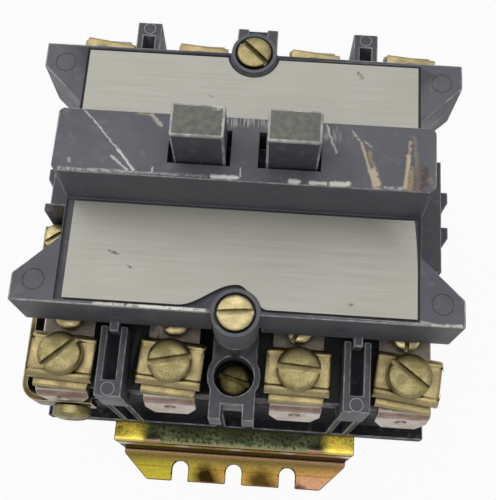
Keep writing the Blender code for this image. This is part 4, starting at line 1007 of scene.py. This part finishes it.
def make_jumper():
    """Coil jumper: a strip on edge carried round the left corner, its tab folded onto the terminal shelf."""
    low, high = limits("coil_jumper")
    half = JUMPER_SHEET / 2
    x_run = low[0] + half
    y_run = low[1] + half
    path = evenly(filleted([(x_run, high[1]), (x_run, y_run), (high[0], y_run)], 3.4, 10), 2.0)
    run = thick_sheet(*carried(path, np.linspace(low[2], high[2], 5), 2), JUMPER_SHEET)
    tab_z = high[2] - half
    fold = evenly(filleted([(x_run, low[2] + 2.0), (x_run, tab_z), (JUMPER_TAB_X, tab_z)], 0.8), 1.0)
    across = np.linspace(high[1] - JUMPER_TAB_WIDTH, high[1], 5)
    tab = thick_sheet(*carried(fold, across, 1), JUMPER_SHEET - 0.1)
    points, quads = joined([run, tab])
    mesh_piece("coil_jumper", points, quads, JUMPER_BRASS, rub=0.2)


# Springs, moulding marks and rounded solids

Winding = namedtuple("Winding", "radius wire turns stroke")
CONTACT_WINDING = Winding(2.2, 0.8, 4, 2.2)
RETURN_WINDING = Winding(2.4, 0.9, 9, 6.0)


def make_springs():
    """Springs wound as real helices, each over the height of its solid."""
    springs = [(f"contact_spring_{i}", f"bridge_slide_{i}", CONTACT_WINDING, 0) for i in POLES]
    springs += [(f"return_spring_{side}", "closing_slide", RETURN_WINDING, 1) for side in ("left", "right")]
    for node, joint, winding, carried_end in springs:
        box = limits(node)
        x = (box[0][0] + box[1][0]) / 2
        low = box[0][2]
        high = box[1][2]
        points, quads = helix(winding.radius, winding.wire, winding.turns, low, high)
        ob = mesh_piece(node, points + (x, 0.0, 0.0), quads, SPRING_STEEL)
        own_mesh(ob)


def make_moulding_marks():
    """Faint rings that ejector pins leave on the flange corners and on the barriers' ends."""
    barrier_top = limits("front_cover")[0][2] + 3.1
    for trim, node, x, y, z, radius, finish in (
            ("cover_pin_rings", "front_cover", 40.0, 24.2, FLANGE_Z, 2.1, PHENOLIC_BLOCK),
            ("barrier_pin_rings", "contact_block", 25.4, 42.5, barrier_top, 1.35, PHENOLIC_RING)):
        points, quads = joined([torus((sx * x, sy * y, z), radius, 0.1) for sx in SIDES for sy in SIDES])
        mesh_piece(node, points, quads, finish, trim=trim)


def bar_corner(middles, along):
    """Upright edges at the four corners of the cover's bar."""
    upright = np.abs(along[:, 2]) > 0.8
    return upright & (middles[:, 2] > FLANGE_Z + 1.0) & (np.abs(middles[:, 0]) > 28.0)


def cover_sharp(middles, along):
    """Edges of the cover too near each other to round: recesses, screw holes, post holes and bar corners."""
    across = np.abs(middles[:, 0])
    reach = np.abs(middles[:, 1])
    in_plate = (across < 36.5) & (reach > 6.8) & (reach < 27.9)
    at_screw = np.hypot(across, reach - COVER_SCREW_Y) < 7.5
    at_post = (across < 18.0) & (reach < 5.6)
    on_arc = (np.abs(along[:, 0]) > 0.15) & (np.abs(along[:, 1]) > 0.15)
    at_flange = np.abs(middles[:, 2] - FLANGE_Z) < 1.5
    at_bar = np.abs(middles[:, 2] - BAR_Z) < 0.5
    return (at_flange & (in_plate | at_screw)) | (at_bar & (at_post | on_arc))


def make_moulded_and_hidden():
    """Moulded bodies, straps and inner pieces: their solids with rounded edges."""
    rounded_copy("front_cover", 0.35, PHENOLIC_COVER, 2, bar_corner, 1.5, cover_sharp)
    rounded_copy("contact_block", 0.25, PHENOLIC_BLOCK)
    rounded_copy("magnet_housing", 0.3, PHENOLIC_HOUSING)
    rounded_copy("crossbar", 0.45, PHENOLIC_POST)
    for end in ENDS:
        for i in POLES:
            rounded_copy(f"strap_{end}_{i}", 0.25, COPPER)
    for i in POLES:
        rounded_copy(f"contact_bridge_{i}", 0.3, COPPER)
    rounded_copy("magnet_core", 0.3, LAMINATION)
    rounded_copy("armature", 0.3, LAMINATION)
    rounded_copy("armature_pin", 0.3, SPRING_STEEL)
    rounded_copy("coil", 1.2, VARNISH, 3)


# Stage, light and camera

WHITE = linear("#ffffff")
FLOOR_REACH = 1200.0
FLOOR_Z = -0.3
LAMPS = (("overhead_lamp", (-60, 90, 620), 900, 3.0), ("side_lamp", (-320, 200, 330), 260, 0.3))
LAMP_AIM = (0, 0, 60)
CAMERA_PLACE = (5.3328, -68.7909, 242.3026)
CAMERA_TURN = (0.3224, 0.012, 0.0654)


def background_rays(tree):
    """1 for rays of the camera, of reflections and of refractions, which see a white background, else 0."""
    seen = add(tree, "LightPath", out="Is Camera Ray")
    for kind in ("Is Glossy Ray", "Is Transmission Ray"):
        seen = add(tree, "Math", {0: seen, 1: add(tree, "LightPath", out=kind)}, operation="MAXIMUM")
    return seen


def set_stage():
    """Pale floor under the feet; it looks white to the camera and keeps a faint shadow."""
    mesh = bpy.data.meshes.new("floor")
    corners = np.array([(-1, -1, 0), (1, -1, 0), (1, 1, 0), (-1, 1, 0)]) * FLOOR_REACH + (0.0, 0.0, FLOOR_Z)
    mesh.from_pydata((corners * MM).tolist(), [], [(0, 1, 2, 3)])
    made = bpy.data.materials.new("pale_paper_sweep")
    made.use_nodes = True
    tree = made.node_tree
    shader = tree.nodes["Principled BSDF"]
    shader.inputs["Base Color"].default_value = linear("#a9a9a9")
    shader.inputs["Roughness"].default_value = 0.9
    glow = add(tree, "Emission", {"Color": WHITE, "Strength": 1.0})
    share = times(tree, background_rays(tree), 0.95)
    mix = add(tree, "MixShader", {0: share, 1: shader.outputs[0], 2: glow})
    tree.links.new(mix, tree.nodes["Material Output"].inputs["Surface"])
    mesh.materials.append(made)
    floor = new_object("floor", mesh)


def set_light():
    """Plain soft studio light: a pale world and two lamps."""
    world = bpy.data.worlds.new("studio")
    bpy.context.scene.world = world
    world.use_nodes = True
    tree = world.node_tree
    sky = tree.nodes["Background"]
    sky.inputs["Color"].default_value = linear("#f1f4fa")
    sky.inputs["Strength"].default_value = 0.42
    white = add(tree, "Background", {"Color": WHITE, "Strength": 1.0})
    mix = add(tree, "MixShader", {0: background_rays(tree), 1: sky.outputs[0], 2: white})
    tree.links.new(mix, tree.nodes["World Output"].inputs["Surface"])
    for name, spot, size, power in LAMPS:
        data = bpy.data.lights.new(name, "AREA")
        data.size = size * MM
        data.energy = power
        ob = new_object(name, data)
        ob.location = Vector(spot) * MM
        ob.rotation_mode = "QUATERNION"
        ob.rotation_quaternion = (Vector(LAMP_AIM) * MM - ob.location).to_track_quat("-Z", "Y")


def set_camera():
    """Camera fitted to the photograph's edges, for an image of 496 by 500."""
    data = bpy.data.cameras.new("photo_camera")
    data.sensor_fit = "AUTO"
    data.sensor_width = 36.0
    data.lens = 61.295
    data.clip_start = 0.005
    ob = new_object("photo_camera", data)
    turn = Vector(CAMERA_TURN)
    ob.rotation_mode = "QUATERNION"
    ob.rotation_quaternion = Quaternion(turn.normalized(), turn.length)
    ob.location = Vector(CAMERA_PLACE) * MM
    bpy.context.scene.camera = ob


make_moulded_and_hidden()
make_screws()
make_clamps()
make_bracket()
make_nameplates()
make_jumper()
make_springs()
make_moulding_marks()
set_stage()
set_light()
set_camera()
bpy.context.scene.view_settings.view_transform = "Standard"
